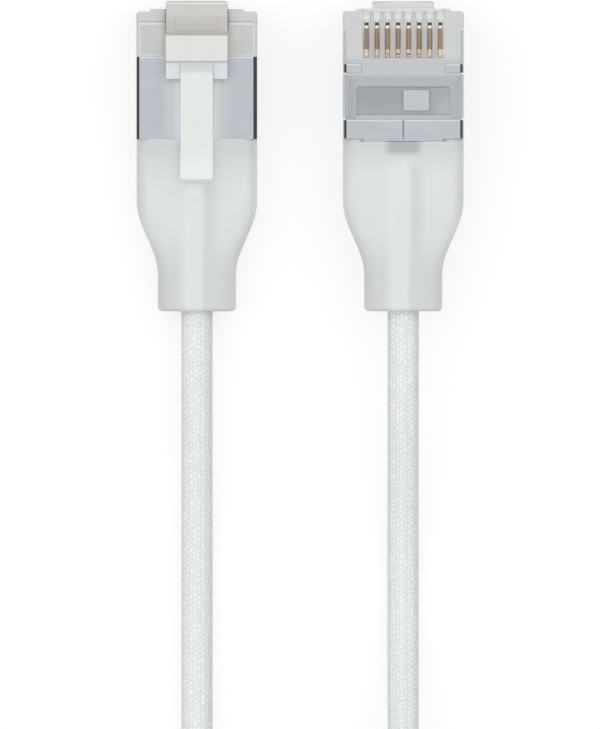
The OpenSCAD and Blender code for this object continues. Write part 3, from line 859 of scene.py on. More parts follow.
@dataclass(frozen=True)
class BrushedShield(PlugFinish):
    """Plated sheet metal brushed across the plug, with a painted dark reflection in its tight bends, and painted light
    and highlights on its top, its front edge and its lips.
    """

    name: str = "brushed_shield"
    body: Colour = (196, 200, 206)
    plug_height: float = 6.6
    bend_z: float = 0.3
    tints: tuple[Tint, ...] = (
        tint("streaks", (184, 188, 194), ("streak", 0.35, 0.85)),
        tint("cool patches", (191, 194, 204), ("patch", 0.42, 0.62), ("ax", 5.6, 4.6), ("z", 3.0, 4.0)),
        # Painted light on the top's middle, strongest next to the lever, to offset its shadow.
        tint("painted light on the middle of the top", (204, 208, 211), ("z", 6.2, 6.3), ("ax", 3.7, 2.4)),
        tint("painted light beside the lever", (234, 238, 240), ("z", 6.2, 6.3), ("ax", 2.5, 1.6), ("u", 6.6, 7.2)),
        # Painted highlights along the front edge of the top and along the lips.
        tint("front edge", (228, 232, 232), ("z", 6.2, 6.3), ("u", 4.8, 4.7)),
        tint("lips", (217, 221, 224), ("z", 0.4, 0.3), ("lips",), ("ax", 5.5, 5.42)),
        tint("flanks", (180, 184, 190), ("z", 0.35, 6.2, 0.1), ("ax", 5.6, 5.7)),
        tint("glints", (248, 249, 250), ("z", 0.5, 0.4), ("ends",), ("ax", 5.6, 5.66)),
        # Painted dark reflection in the tight bends, where the metal is also less metallic.
        tint("bends", (52, 53, 57), ("bend",)),
    )

    def measure(self, board: MaterialBoard, at: Socket, axes: dict[str, Number]) -> None:
        """Adds the brushing, the lips, the ends of the tabs that glint, and the bends along both sides, where a dark
        reflection is painted.

        Args:
            board: the finish's board.
            at: the vector in millimetres.
            axes: the numbers of the board, which this adds to.
        """
        u, z, right = axes["u"], axes["z"], axes["right"]
        axes["fine"] = board.noise(at, (0.5, 9.0, 9.0), 4.0, 0.6)
        axes["streak"] = axes["fine"] * 0.7 + board.noise(at, (0.18, 0.5, 0.5)) * 0.5
        axes["patch"] = board.noise(at, (0.35, 0.45, 0.4), 2.0, 0.6)
        axes["lips"] = u.band(5.34, 5.5, 0.06).either(u.band(10.72, 10.9, 0.06))
        ends = u.band(1.9, 2.08, 0.06).either(u.band(6.24, 6.36, 0.06))
        axes["ends"] = ends.either(u.band(10.62, 10.76, 0.06))
        sides = right.step(5.44, 5.52).either(right.step(-5.52, -5.59))
        top = self.plug_height - self.bend_z
        fold = z.step(top, top + 0.08) * sides
        tabs = u.band(5.4, 6.2, 0.06).either(u.band(10.8, 12.57, 0.06))
        low = z.step(self.bend_z, self.bend_z - 0.08) * tabs * axes["ax"].band(5.5, 5.74, 0.06)
        axes["bend"] = fold.either(low)

    def surface(self, board: MaterialBoard, at: Socket, axes: dict[str, Number]) -> dict[str, object]:
        """Values of brushed metal, rougher along its streaks.

        Args:
            board: the finish's board.
            at: the vector in millimetres.
            axes: the numbers of the board.

        Returns:
            The values by the sockets' names, with underscores for spaces.
        """
        metal, rough = 0.8 - axes["bend"] * 0.5, axes["fine"] * 0.16 + 0.32
        return {"Metallic": metal, "Roughness": rough, "Normal": board.bump(axes["fine"], 0.005)}


OLIVE = (164, 148, 120)


@dataclass(frozen=True)
class GoldContact(PlugFinish):
    """Gold-plated copper alloy, coppery at the heel, with painted highlights on the tip and the shoulder of its crown,
    a painted dark reflection in the dip between them and painted light on the heel.
    """

    name: str = "gold_contact"
    # Near white: a painted highlight on the tip, where no tint covers it.
    body: Colour = (255, 252, 238)
    roughness: float = 0.32
    tints: tuple[Tint, ...] = (
        # Painted dark reflection in the dip behind the tip, then a painted highlight on the shoulder.
        tint("dip", (84, 76, 58), ("u", 1.29, 1.36)),
        tint("shoulder", (255, 252, 236), ("u", 1.61, 1.68)),
        Tint("crown", (163, 140, 121), (("u", 1.87, 1.94),), second=OLIVE, second_where=("which", 0.46, 0.54)),
        # Coppery heel, painted lighter to offset the shade of the walls round it.
        tint("heel", (255, 238, 218), ("u", 3.92, 4.0)),
        tint("wear", (150, 122, 92), ("fine",), ("u", 1.9, 3.95, 0.1), share=0.25),
        # Darker spots on the middle blades.
        tint("dark spots on the middle blades", (112, 84, 52), ("middle",), ("u", 4.34, 4.47, 0.1)),
        # Painted light on the heel's end, where the slot shades it.
        tint("painted light on the end of the heel", (255, 252, 246), ("u", 4.55, 4.66)),
    )

    def measure(self, board: MaterialBoard, at: Socket, axes: dict[str, Number]) -> None:
        """Adds the fine grain, which blades are olive, and how near the middle of the plug a blade lies.

        Args:
            board: the finish's board.
            at: the vector in millimetres.
            axes: the numbers of the board, which this adds to.
        """
        axes["fine"] = board.noise(at, (12.0, 1.2, 12.0), 3.0)
        axes["which"] = board.noise(at, (0.9, 0.02, 0.02), 1.0)
        axes["middle"] = (axes["ax"].step(1.1, 0.9) + axes["ax"].step(2.2, 1.9)) * 0.5

    def surface(self, board: MaterialBoard, at: Socket, axes: dict[str, Number]) -> dict[str, object]:
        """Values of plated metal, most polished at the tip and the shoulder.

        Args:
            board: the finish's board.
            at: the vector in millimetres.
            axes: the numbers of the board.

        Returns:
            The values by the sockets' names, with underscores for spaces.
        """
        u = axes["u"]
        polished = u.step(1.34, 1.28).either(u.band(1.6, 1.9, 0.06))
        metal = polished * 0.5 + 0.45 - u.step(3.9, 4.0) * 0.25
        return {"Metallic": metal, "Roughness": self.roughness, "Normal": board.bump(axes["fine"], 0.003)}


TAB = (("z", 0.6, 0.5), ("u", 12.96, 12.9))
BEHIND = ("u", 14.3, 16.0)
LEVER_SIDE = ("z", 4.0, 5.0)
# Colour of the light painted on each boot's side that faces the other plug.
INNER_SIDE_LIGHT = (240, 243, 242)


@dataclass(frozen=True)
class FrostedBoot(PlugFinish):
    """Soft frosted moulding through which the cord and the crimp collar just show, as painted light and shade.

    The cord's light and shade lie on the side away from the lamp. Light is also painted where the lever, the tab and
    the other plug shade the boot, shade on its side away from the other plug, and a highlight along its front.
    """

    name: str = "frosted_boot"
    body: Colour = (221, 226, 224)
    spread: float = 2.0
    cloud: Point = (0.25, 0.15, 0.3)
    grain: float = 14.0
    grain_depth: float = 0.004
    roughness: float = 0.5
    ior: float = 1.45
    scatter: float = 0.4
    scatter_reach: float = 0.0012
    tints: tuple[Tint, ...] = (
        tint("front", (209, 213, 212), ("u", 16.5, 12.9)),
        # Painted highlight along the rounded front edge.
        tint("front edge", (224, 228, 229), ("u", 12.76, 12.7), ("z", 3.0, 3.4)),
        # Painted light where the tab ends, against the tab's shade on the boot.
        tint("painted light at the end of the tab", (255, 255, 255), *TAB, ("u", 12.8, 12.84), ("ax", 3.9, 3.8)),
        tint("beside the tab", (192, 196, 197), *TAB, ("ax", 3.75, 4.35, 0.1)),
        tint("neck", (211, 215, 214), ("u", 21.5, 26.0)),
        tint("shade of the cord", (211, 216, 214), BEHIND, ("right", 0.4, 1.05), ("right", 2.4, 1.3)),
        tint("light of the cord", (226, 231, 229), BEHIND, ("right", -2.0, -0.6), ("right", 0.8, 0.2)),
        tint("cool middle", (223, 228, 229), BEHIND, ("right", -0.8, 0.3, 0.7)),
        # Painted shade of the crimp collar, seen through the boot.
        tint("shade of the collar inside", (178, 182, 185), ("u", 12.0, 14.0, 0.9), ("ax", 2.1, 1.1), ("z", 3.0, 2.0)),
        # Painted light where the lever and the other plug shade the boot.
        tint("painted light under the lever", (234, 238, 238), ("ax", 3.9, 1.8), LEVER_SIDE, ("u", 17.8, 16.8), share=0.65),
        tint("painted light on the inner side", INNER_SIDE_LIGHT, ("x", 5.25, 5.75), share=0.7),
        tint("painted light on the inner side of the neck", INNER_SIDE_LIGHT, ("x", 2.9, 3.5), ("u", 23.0, 25.0), share=0.25),
        tint("painted light behind the lever", INNER_SIDE_LIGHT, ("right", -0.9, 0.4, 0.5), LEVER_SIDE, ("u", 17.0, 18.0, 0.7), share=0.6),
        # Painted shade on the side away from the other plug.
        tint("painted shade on the outer side", (216, 220, 218), BEHIND, ("x", -4.7, -5.2), ("u", 21.0, 19.0)),
        tone("deeper part", 0.98, BEHIND, ("deeper",)),
    )

    def measure(self, board: MaterialBoard, at: Socket, axes: dict[str, Number]) -> None:
        """Adds deeper: the contact side and all of the neck, where the moulding is thicker.

        Args:
            board: the finish's board.
            at: the vector in millimetres.
            axes: the numbers of the board, which this adds to.
        """
        axes["deeper"] = axes["z"].step(3.6, 3.0) * 0.6 + axes["u"].step(18.0, 20.0)


@dataclass(frozen=True)
class BraidFinish:
    """White nylon braid: columns of short slanting floats, every other column slanting the other way, with light and
    shade painted across its straight runs.
    """

    name: str = "woven_sleeve"
    thread: Colour = (242, 245, 245)
    middle: Colour = (230, 234, 235)
    gap: Colour = (210, 215, 216)
    centre: float = 10.0
    stitch: float = 0.52
    slant: float = 0.42
    wander: float = 1.4
    slip: float = 2.2
    arch: float = 2.2
    uneven: float = 0.34
    fibres: float = 40.0
    fibre_height: float = 0.05
    relief: float = 0.035
    straight_from: tuple[float, float] = (-64.0, -60.0)
    lane_shift: float = 0.12
    less_on_a: float = 0.6
    tints: tuple[Tint, ...] = (
        tone("shaded side", 0.89, ("right", 0.85, 1.25), ("straight",)),
        # Painted light on the left of each straight run.
        tone("lit left rows", (1.07, 1.07, 1.065), ("right", -1.2, -0.85, 0.12), ("straight",), ("more_on_b",)),
        tone("lit left of the middle", 1.018, ("right", -0.7, 0.0, 0.12), ("straight",)),
        tint("middle row", (230, 234, 235), ("lane", -0.12, 0.12, 0.1), ("straight",), share=0.4),
        # Painted shade on the right, near the middle and as a darker line further out on run a.
        tone("shaded right of the middle", 0.97, ("right", 0.15, 0.5, 0.08), ("straight",)),
        tint("groove", (212, 212, 217), ("right", 0.78, 0.92, 0.08), ("straight",), ("end_a",), share=0.6),
        tone("lit stitches", 1.05, ("lit",)),
        tone("unlit stitches", 0.94, ("unlit",)),
    )

    def material(self) -> bpy.types.Material:
        """Builds the finish from the cord's UV map, whose u counts columns and v counts floats."""
        board = MaterialBoard(self.name)
        at, axes = board.local()
        slip = board.noise(at, (1.3, 0.8, 1.3)) - 0.5
        height = self.weave(board, at, slip)
        self.measure(axes, slip)
        base = board.tinted(self.threads(board, height), axes, self.tints)
        return board.finish(
            Base_Color=base,
            Roughness=0.62,
            Sheen_Weight=0.15,
            Sheen_Roughness=0.5,
            Normal=board.bump(height, self.relief),
        )

    def weave(self, board: MaterialBoard, at: Socket, slip: Number) -> Number:
        """Height of the weave.

        A float at (across, along) stands (1 - 0.6 |2 across|^arch) (1 - 0.8 |2 along|^arch) high, times
        1 - uneven to 1 by chance, plus fibre_height sin(fibres (across way - along)).

        Args:
            board: the braid's board.
            at: the vector in millimetres.
            slip: how far each place slips along its column, from -0.5 to 0.5.

        Returns:
            The height, from about 0 to 1.
        """
        uv = board.add("ShaderNodeUVMap", uv_map="braid").outputs[0]
        split = board.add("ShaderNodeSeparateXYZ", {0: uv}).outputs
        u = Number(board, split[0]) + (board.noise(at, (0.7, 0.35, 0.7)) - 0.5) * self.wander
        column, across = u.to("FLOOR"), u.to("FRACT") - 0.5
        odd = column.to("MODULO", 2.0)
        way = 1.0 - odd * 2.0
        slid = Number(board, split[1]) + slip * self.slip + way * across * self.slant + odd * 0.5
        along = slid.to("FRACT") - 0.5
        ways = ((across, 0.6), (along, 0.8))
        arches = [1.0 - (place * 2.0).to("ABSOLUTE").to("POWER", self.arch) * drop for place, drop in ways]
        which = board.add("ShaderNodeCombineXYZ", {0: column, 1: slid.to("FLOOR")}).outputs[0]
        chance = board.add("ShaderNodeTexWhiteNoise", {"Vector": which}, noise_dimensions="3D").outputs["Value"]
        fibre = ((across * way - along) * self.fibres).to("SINE") * self.fibre_height
        return arches[0] * arches[1] * (Number(board, chance) * self.uneven + (1 - self.uneven)) + fibre

    def threads(self, board: MaterialBoard, height: Number) -> Socket:
        """Colours the weave.

        Args:
            board: the braid's board.
            height: height of the weave.

        Returns:
            The colour of the gaps, of the middles of the floats and of their tops, run together by height.
        """
        node = board.add("ShaderNodeValToRGB", {0: height})
        elements = node.color_ramp.elements
        elements.new(0.5)
        for element, place, colour in zip(elements, (0.1, 0.5, 0.9), (self.gap, self.middle, self.thread)):
            element.position, element.color = place, linear(colour)
        return node.outputs["Color"]

    def measure(self, axes: dict[str, Number], slip: Number) -> None:
        """Adds where a place lies across its own run, which run it is on, and the beat of its strongest rows, where
        lit and unlit stitches are painted.

        Args:
            axes: the numbers of the board, which this adds to.
            slip: how far each place slips along its column, from -0.5 to 0.5.
        """
        x, y = axes["x"], axes["u"]
        right = axes["right"] = x - x.to("SIGN") * self.centre
        straight = axes["straight"] = y.step(*self.straight_from)
        end_a = axes["end_a"] = x.step(5.0, -5.0)
        lane = axes["lane"] = right + end_a * self.lane_shift
        axes["more_on_b"] = 1.0 - end_a * self.less_on_a
        rows = lane.band(-1.12, -1.0, 0.1).either(lane.band(0.0, 0.13, 0.1)).either(lane.band(0.82, 0.94, 0.1))
        beat = ((y + slip) * math.tau / self.stitch).to("SINE")
        axes["lit"] = beat * rows * straight
        axes["unlit"] = axes["lit"] * -1.0


@dataclass(frozen=True)
class PlainFinish:
    """A moulded, drawn or woven finish of one colour with a little variation and grain."""

    name: str
    colour: Colour
    spread: float = 6.0
    roughness: float = 0.5
    metallic: float = 0.0
    grain_scale: Point = (6.0, 6.0, 6.0)
    grain_depth: float = 0.004

    def material(self) -> bpy.types.Material:
        """Builds the finish in the frame's own coordinates."""
        board = MaterialBoard(self.name)
        at = board.local()[0]
        return board.finish(
            Base_Color=board.clouded(board.noise(at, (0.5, 0.5, 0.5)), self.colour, self.spread),
            Roughness=self.roughness,
            Metallic=self.metallic,
            Normal=board.bump(board.noise(at, self.grain_scale, 3.0), self.grain_depth),
        )


def dress(obj: bpy.types.Object, material: bpy.types.Material, slot: str, body: str, *nodes: str) -> None:
    """Gives a finished piece its material and body.

    Args:
        obj: the piece.
        material: its only material.
        slot: the record's material slot for its finish; not used.
        body: the body that it rides on.
        nodes: the CAD nodes that it stands for.
    """
    obj.data.materials.clear()
    obj.data.materials.append(material)
    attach(obj, body)
    if nodes:
        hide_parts(*nodes)
    LOG.info("%s: %d faces, rides on %s", obj.name, len(obj.data.polygons), body)


def redress(obj: bpy.types.Object, material: bpy.types.Material) -> None:
    """Gives a CAD node a better material and leaves its mesh alone."""
    for holder in obj.material_slots:
        holder.link = "OBJECT"
        holder.material = material


# ---- The cord ----


@dataclass
class Cord:
    """The whole free cord: a stretch from each boot and the coil between them, as one woven tube."""

    diameter: float = 3.03
    columns: int = 24
    sides_per_column: int = 2
    float_length: float = 0.52
    relief: float = 0.035
    fine_step: float = 0.13
    coarse_step: float = 1.1
    shown_to: float = -58.0
    coil_centre: tuple[float, float] = (0.0, -86.0)
    coil_radius: float = 20.4
    coil_pitch: float = 3.45
    coil_height: float = 2.115
    coil_start: float = 141.0
    layers: int = 4
    rings_per_turn: int = 24
    whole_turns: int = 8
    steps_per_span: int = 40
    most_path_points: int = 1500
    lead_a: list[Point] = field(
        default_factory=lambda: [
            (-10, -15.04, 3.3), (-10, -19.04, 3.3), (-10, -24, 3.1), (-10, -29, 2.5), (-10, -34, 1.9),
            (-10, -39, 1.6), (-10, -45, 1.6), (-10, -51, 1.6), (-10, -56, 1.6), (-10, -60.6, 1.6),
            (-10.4, -64, 1.7), (-11.5, -67.2, 1.9),
        ]
    )
    lead_b: list[Point] = field(
        default_factory=lambda: [
            (10, -15.04, 6.698), (10, -19.04, 6.698), (10, -23, 6.3), (10, -27, 5.3), (10, -31, 3.9),
            (10, -35, 2.6), (10, -39, 1.8), (10, -43, 1.6), (10, -47, 2.1), (10, -51, 3.4), (10, -55, 5.4),
            (10, -58, 7.1), (10, -60.6, 8.6), (10.4, -64, 10.4), (11.5, -67.2, 11.8),
        ]
    )

    @property
    def turns(self) -> float:
        """Turns of the coil: its whole turns, less what lies between its two ends at the front."""
        return self.whole_turns - (2 * self.coil_start - 180) / 360

    def coil_at(self, t: np.ndarray) -> np.ndarray:
        """Points of the coil after t turns.

        Even layers run inwards, r = R - pitch f, and odd layers outwards again, with f the turns since the
        layer began. The height climbs one pitch in the half turn round each change of layer.

        Args:
            t: turns from the start.

        Returns:
            Points in millimetres, one row per turn value.
        """
        per_layer = self.turns / self.layers
        layer = np.minimum(self.layers - 1, np.floor(t / per_layer))
        f = t - layer * per_layer
        inner = self.coil_radius - self.coil_pitch * per_layer
        r = np.where(layer % 2 == 0, self.coil_radius - self.coil_pitch * f, inner + self.coil_pitch * f)
        climbs = np.arange(1, self.layers)[None, :] * per_layer
        z = self.coil_height + self.coil_pitch * np.clip((t[:, None] - climbs + 0.25) / 0.5, 0, 1).sum(axis=1)
        a = np.radians(self.coil_start) + 2 * np.pi * t
        return np.stack([self.coil_centre[0] + r * np.cos(a), self.coil_centre[1] + r * np.sin(a), z], axis=1)

    def coil_tails(self) -> tuple[np.ndarray, np.ndarray]:
        """Two points ahead of each end of the coil, on the straight line that leaves it."""
        out = []
        for t, way in ((0.0, 1.0), (self.turns, -1.0)):
            a = math.radians(self.coil_start) + 2 * math.pi * t
            line = way * np.array([math.sin(a), -math.cos(a), 0.0])
            at = self.coil_at(np.array([t]))[0]
            out.append(np.stack([at + (self.diameter + 1) * line, at + self.diameter * line]))
        return out[0], out[1]

    def route(self) -> np.ndarray:
        """Centreline of the whole cord in millimetres, closely spaced, from boot a to boot b."""
        t = np.linspace(0, self.turns, round(self.turns * self.rings_per_turn) + 1)
        tail_a, tail_b = self.coil_tails()
        way_b = np.vstack([np.array(self.lead_b), tail_b])[::-1]
        points = np.vstack([np.array(self.lead_a), tail_a, self.coil_at(t), way_b])
        return spline(points, self.steps_per_span)

    def rings(self) -> tuple[np.ndarray, np.ndarray]:
        """Ring centres and their distances along the cord: close where the cord is seen, wider in the coil."""
        dense = self.route()
        s = np.concatenate([[0.0], np.cumsum(np.linalg.norm(np.diff(dense, axis=0), axis=1))])
        shown = dense[:, 1] > self.shown_to
        density = np.where(shown, 1 / self.fine_step, 1 / self.coarse_step)
        count = np.concatenate([[0.0], np.cumsum(np.diff(s) * (density[1:] + density[:-1]) / 2)])
        at = np.interp(np.linspace(0, count[-1], int(count[-1])), count, s)
        centres = np.stack([np.interp(at, s, dense[:, k]) for k in range(3)], axis=1)
        return centres, at

    def build(self, finish: BraidFinish) -> None:
        """Builds the woven tube, with a UV map that counts columns and floats.

        Each ring stands square to the route. Its radius is r - h/2 + h (0.5 - 0.5 cos(2 pi c)) (0.65 - 0.35
        cos(2 pi w)), with r half the diameter, h the relief, c the place across a column and w the place
        along its floats.

        Args:
            finish: the braid's finish.
        """
        centres, at = self.rings()
        n = self.columns * self.sides_per_column
        tangent = unit(np.gradient(centres, axis=0))
        side = unit(np.cross(tangent, [0.0, 0.0, 1.0]))
        up = np.cross(side, tangent)
        k = np.arange(n)
        a = 2 * np.pi * k / n
        column = k / self.sides_per_column
        across = column % 1.0
        w = at[:, None] / self.float_length + 0.5 * (np.floor(column) % 2)[None, :]
        hump = 0.5 - 0.5 * np.cos(2 * np.pi * across)[None, :]
        radius = self.diameter / 2 - self.relief / 2 + self.relief * hump * (0.65 - 0.35 * np.cos(2 * np.pi * w))
        ring = np.cos(a)[None, :, None] * side[:, None, :] + np.sin(a)[None, :, None] * up[:, None, :]
        verts = (centres[:, None, :] + radius[:, :, None] * ring).reshape(-1, 3) * MM
        rows = len(centres)
        faces = capped(verts.reshape(rows, n, 3))
        obj = mesh_object("woven_cord", verts, faces, 80.0)
        self.map_braid(obj, n, at)
        dress(obj, finish.material(), "woven_sleeve", "root", "cord_lead_a", "cord_coil", "cord_lead_b")

    def map_braid(self, obj: bpy.types.Object, n: int, at: np.ndarray) -> None:
        """Gives the tube its UV map: u counts columns round the cord, v counts floats along it.

        Args:
            obj: the tube.
            n: points in each of its rings.
            at: each ring's distance along the cord.
        """
        mesh = obj.data
        row, k = np.divmod(read(mesh.loops, "vertex_index"), n)
        totals = read(mesh.polygons, "loop_total")
        poly = np.repeat(np.arange(len(totals)), totals)
        wraps = np.zeros(len(totals), dtype=bool)
        np.logical_or.at(wraps, poly, k == n - 1)
        near = (k == 0) & wraps[poly] & (totals[poly] == 4)
        u = (k + np.where(near, n, 0)) / self.sides_per_column
        v = at[row] / self.float_length
        layer = mesh.uv_layers.new(name="braid")
        layer.data.foreach_set("uv", np.stack([u, v], axis=1).astype(np.float32).ravel())


# ---- One plug with its boot ----


@dataclass
class Boot:
    """The strain-relief boot: a squared-off shoulder that narrows in a smooth waist to its neck."""

    front: float = 12.6
    back: float = 29.28
    width: float = 11.68
    height: float = 6.8
    neck_width: float = 7.56
    neck_height: float = 5.9
    shoulder: float = 6.1
    waist: float = 7.0
    plug_middle: float = 3.3
    front_edge: float = 0.05
    back_edge: float = 0.45
    bore: float = 1.56
    tail_end: float = 14.22
    tail_half: tuple[float, float] = (4.83, 2.53)
    tab_half: float = 3.99
    tab_end: float = 12.84
    tab_depth: float = 0.27
    tab_slope: float = 0.04
    even_from: float = 13.3
    even_margin: float = 0.3
    even_rows: int = 56
    squareness: tuple[float, float] = (5.0, 3.4)
    tail_squareness: float = 24.0
    bore_flare: float = 0.08
    sides: int = 120

    def narrowing(self, u: np.ndarray, wide: float, narrow: float) -> np.ndarray:
        """wide + (narrow - wide) smoothstep((u - end of shoulder) / waist)."""
        return wide + (narrow - wide) * smooth((u - self.front - self.shoulder) / self.waist)

    def outer_rings(self) -> np.ndarray:
        """Outer skin: superellipses |x/w|^n + |z/h|^n = 1 whose n falls from the shoulder's to the neck's."""
        turn = np.linspace(0, np.pi / 2, 5)
        head = self.front + self.front_edge * (1 - np.cos(turn))
        tail = self.back - self.back_edge * (1 - np.sin(turn))
        notch = np.array([self.tab_end, self.tab_end + self.tab_slope])
        even = np.linspace(self.even_from, self.back - self.back_edge - self.even_margin, self.even_rows)
        u = np.concatenate([head, notch, even, tail])[:, None]
        d = drawn_in(self.front_edge, self.front + self.front_edge - u)
        d = d + drawn_in(self.back_edge, u - self.back + self.back_edge)
        w = self.narrowing(u, self.width, self.neck_width) / 2 - d
        h = self.narrowing(u, self.height, self.neck_height) / 2 - d
        middle = self.narrowing(u, self.height / 2, self.plug_middle)
        x, z = superellipse(around(self.sides)[None, :], w, h, self.narrowing(u, *self.squareness))
        z = middle + z
        tab = (u <= self.tab_end) & (np.abs(x) < self.tab_half) & (z < 1)
        z = np.where(tab, np.maximum(z, self.tab_depth), z)
        return np.stack([x, np.broadcast_to(u, x.shape), z], axis=-1)

    def inner_rings(self) -> np.ndarray:
        """Inside: the bore from the back, the pocket of the housing's tail, then its mouth at the front."""
        mouth = self.bore + self.bore_flare
        rings = []
        for half_x, half_z, n, u in (
            (mouth, mouth, 2.0, self.back),
            (self.bore, self.bore, 2.0, self.back - self.bore_flare),
            (self.bore, self.bore, 2.0, self.tail_end),
            (*self.tail_half, self.tail_squareness, self.tail_end),
            (*self.tail_half, self.tail_squareness, self.front),
        ):
            x, z = superellipse(around(self.sides), half_x, half_z, n)
            rings.append(np.stack([x, np.full_like(x, u), self.plug_middle + z], axis=-1))
        return np.stack(rings)

    def build(self, place: PlugPlace, finish: FrostedBoot) -> None:
        """Builds the boot as one closed skin, outside and inside.

        Args:
            place: where the plug lies.
            finish: the boot's finish.
        """
        rings = np.concatenate([self.outer_rings(), self.inner_rings()])
        verts = place.world(rings).reshape(-1, 3)
        faces = grid_faces(len(rings), self.sides, True)
        obj = mesh_object(f"strain_relief_boot_{place.end.value}", verts, faces, 60.0)
        dress(obj, finish.material(place), "frosted_boot", "root", f"boot_{place.end.value}")


@dataclass
class ContactSet:
    """The eight gold blades of a plug."""

    count: int = 8
    pitch: float = 1.02
    thickness: float = 0.35
    edge: float = 0.03
    front: float = 1.14
    sink: float = 0.62
    root: float = 2.35
    tooth: float = 0.5
    tooth_tip: float = 3.4
    point: float = 0.2
    corner: float = 0.07
    crown: tuple[tuple[float, float], ...] = (
        (0, 0.22), (0.16, 0.18), (0.36, 0.22), (0.48, 0.08), (0.61, 0), (2.86, 0), (3.16, 0.18), (3.6, 0.24),
    )
    teeth: tuple[float, float] = (3.588, 1.932)

    def outline(self) -> np.ndarray:
        """Side view of a blade as (u, z): its crown, then the two pointed teeth below it."""
        top = [(self.front + u, self.sink + z) for u, z in self.crown]
        low = [(self.front + self.crown[-1][0], self.root)]
        for t in self.teeth:
            low += [
                (t + self.tooth, self.root),
                (t + self.tooth, self.tooth_tip - self.point),
                (t + self.tooth / 2, self.tooth_tip),
                (t, self.tooth_tip - self.point),
                (t, self.root),
            ]
        return filleted(top + low + [(self.front, self.root)], self.corner, 3)

    def build(self, place: PlugPlace, finish: GoldContact) -> None:
        """Builds the blades, each from its own outline carried across its thickness.

        Args:
            place: where the plug lies.
            finish: the blades' finish.
        """
        material = finish.material(place)
        outline = self.outline()
        for i in range(1, self.count + 1):
            x = (i - (self.count + 1) / 2) * self.pitch
            rings = carried(outline, x - self.thickness / 2, x + self.thickness / 2, self.edge)
            verts = place.world(rings).reshape(-1, 3)
            name = f"{place.end.value}{i}"
            obj = mesh_object(f"contact_blade_{name}", verts, capped(rings), 35.0)
            dress(obj, material, "contact_gold", "root", f"contact_{name}")


@dataclass
class Plug:
    """One plug: housing, latch, shield, contacts, strain bar and boot, and the pieces hidden inside."""

    place: PlugPlace
    nodes: dict[str, bpy.types.Object]
    boot: Boot = field(default_factory=Boot)
    contacts: ContactSet = field(default_factory=ContactSet)
    wire_colours: tuple[Colour, ...] = ((226, 140, 58), (74, 150, 84), (58, 98, 182), (120, 84, 58))

    def build(self) -> None:
        """Builds and dresses every piece of the plug."""
        e = self.place.end.value
        self.boot.build(self.place, FrostedBoot())
        self.contacts.build(self.place, GoldContact())
        comb = Zone(self.place, (-4.3, -0.5, 0.7), (4.3, 5.0, 5.6), False)
        window = Zone(self.place, (-4.7, 7.4, 0.2), (4.7, 10.5, 0.3), width=0.16)
        rear = Zone(self.place, (-6.0, 12.5, -1.0), (6.0, 13.0, 7.0))
        root = Zone(self.place, (-3.1, -1.0, 4.5), (3.1, 2.4, 7.6))
        rim = Zone(self.place, (-5.0, 7.0, 0.4), (5.0, 11.0, 0.6))
        for node, made, width, zones, finish, slot, body in (
            ("housing", "moulded_housing", 0.05, (comb, window), MilkyPlastic(), "clear_plastic", "root"),
            ("shield", "folded_shield", 0.06, (rear,), BrushedShield(), "shield_steel", "root"),
            ("latch", "spring_latch", 0.08, (root,), LatchPlastic(), "latch_plastic", f"latch_{e}"),
            ("strain_bar", "pressed_strain_bar", 0.06, (rim,), BarPlastic(), "strain_bar_plastic", "root"),
        ):
            obj = rounded_copy(self.nodes[f"{node}_{e}"], f"{made}_{e}", width, *zones)
            dress(obj, finish.material(self.place), slot, body, f"{node}_{e}")
        self.dress_inside()

    def dress_inside(self) -> None:
        """Gives the pieces inside the plug, which keep their CAD shape, their finishes."""
        e = self.place.end.value
        finishes = {
            "load_bar": PlainFinish("load_bar_plastic", (210, 214, 216), spread=4.0, roughness=0.4),
            "screen_fold": PlainFinish(
                "tinned_screen",
                (176, 174, 168),
                spread=14.0,
                roughness=0.4,
                metallic=0.8,
                grain_scale=(3.0, 9.0, 9.0),
                grain_depth=0.02,
            ),
            "crimp_collar": PlainFinish(
                "drawn_collar",
                (186, 188, 192),
                spread=5.0,
                roughness=0.3,
                metallic=0.9,
                grain_scale=(9.0, 0.8, 9.0),
                grain_depth=0.006,
            ),
            "jacket_end": PlainFinish("cable_jacket", (232, 234, 236), spread=3.0, roughness=0.55),
            "sleeve_end": PlainFinish(
                "sleeve_inside",
                (228, 231, 232),
                spread=9.0,
                roughness=0.7,
                grain_scale=(7.0, 4.0, 7.0),
                grain_depth=0.03,
            ),
        }
        for node, finish in finishes.items():
            redress(self.nodes[f"{node}_{e}"], replace(finish, name=f"{finish.name}_{e}").material())
        for number, colour in enumerate(self.wire_colours, 1):
            insulation = PlainFinish(f"wire_insulation_{e}{number}", colour, spread=5.0, roughness=0.4)
            redress(self.nodes[f"wire_pair_{e}{number}"], insulation.material())
        LOG.info("plug %s: %d inner pieces dressed", e, len(finishes) + len(self.wire_colours))


# ---- The tie ----


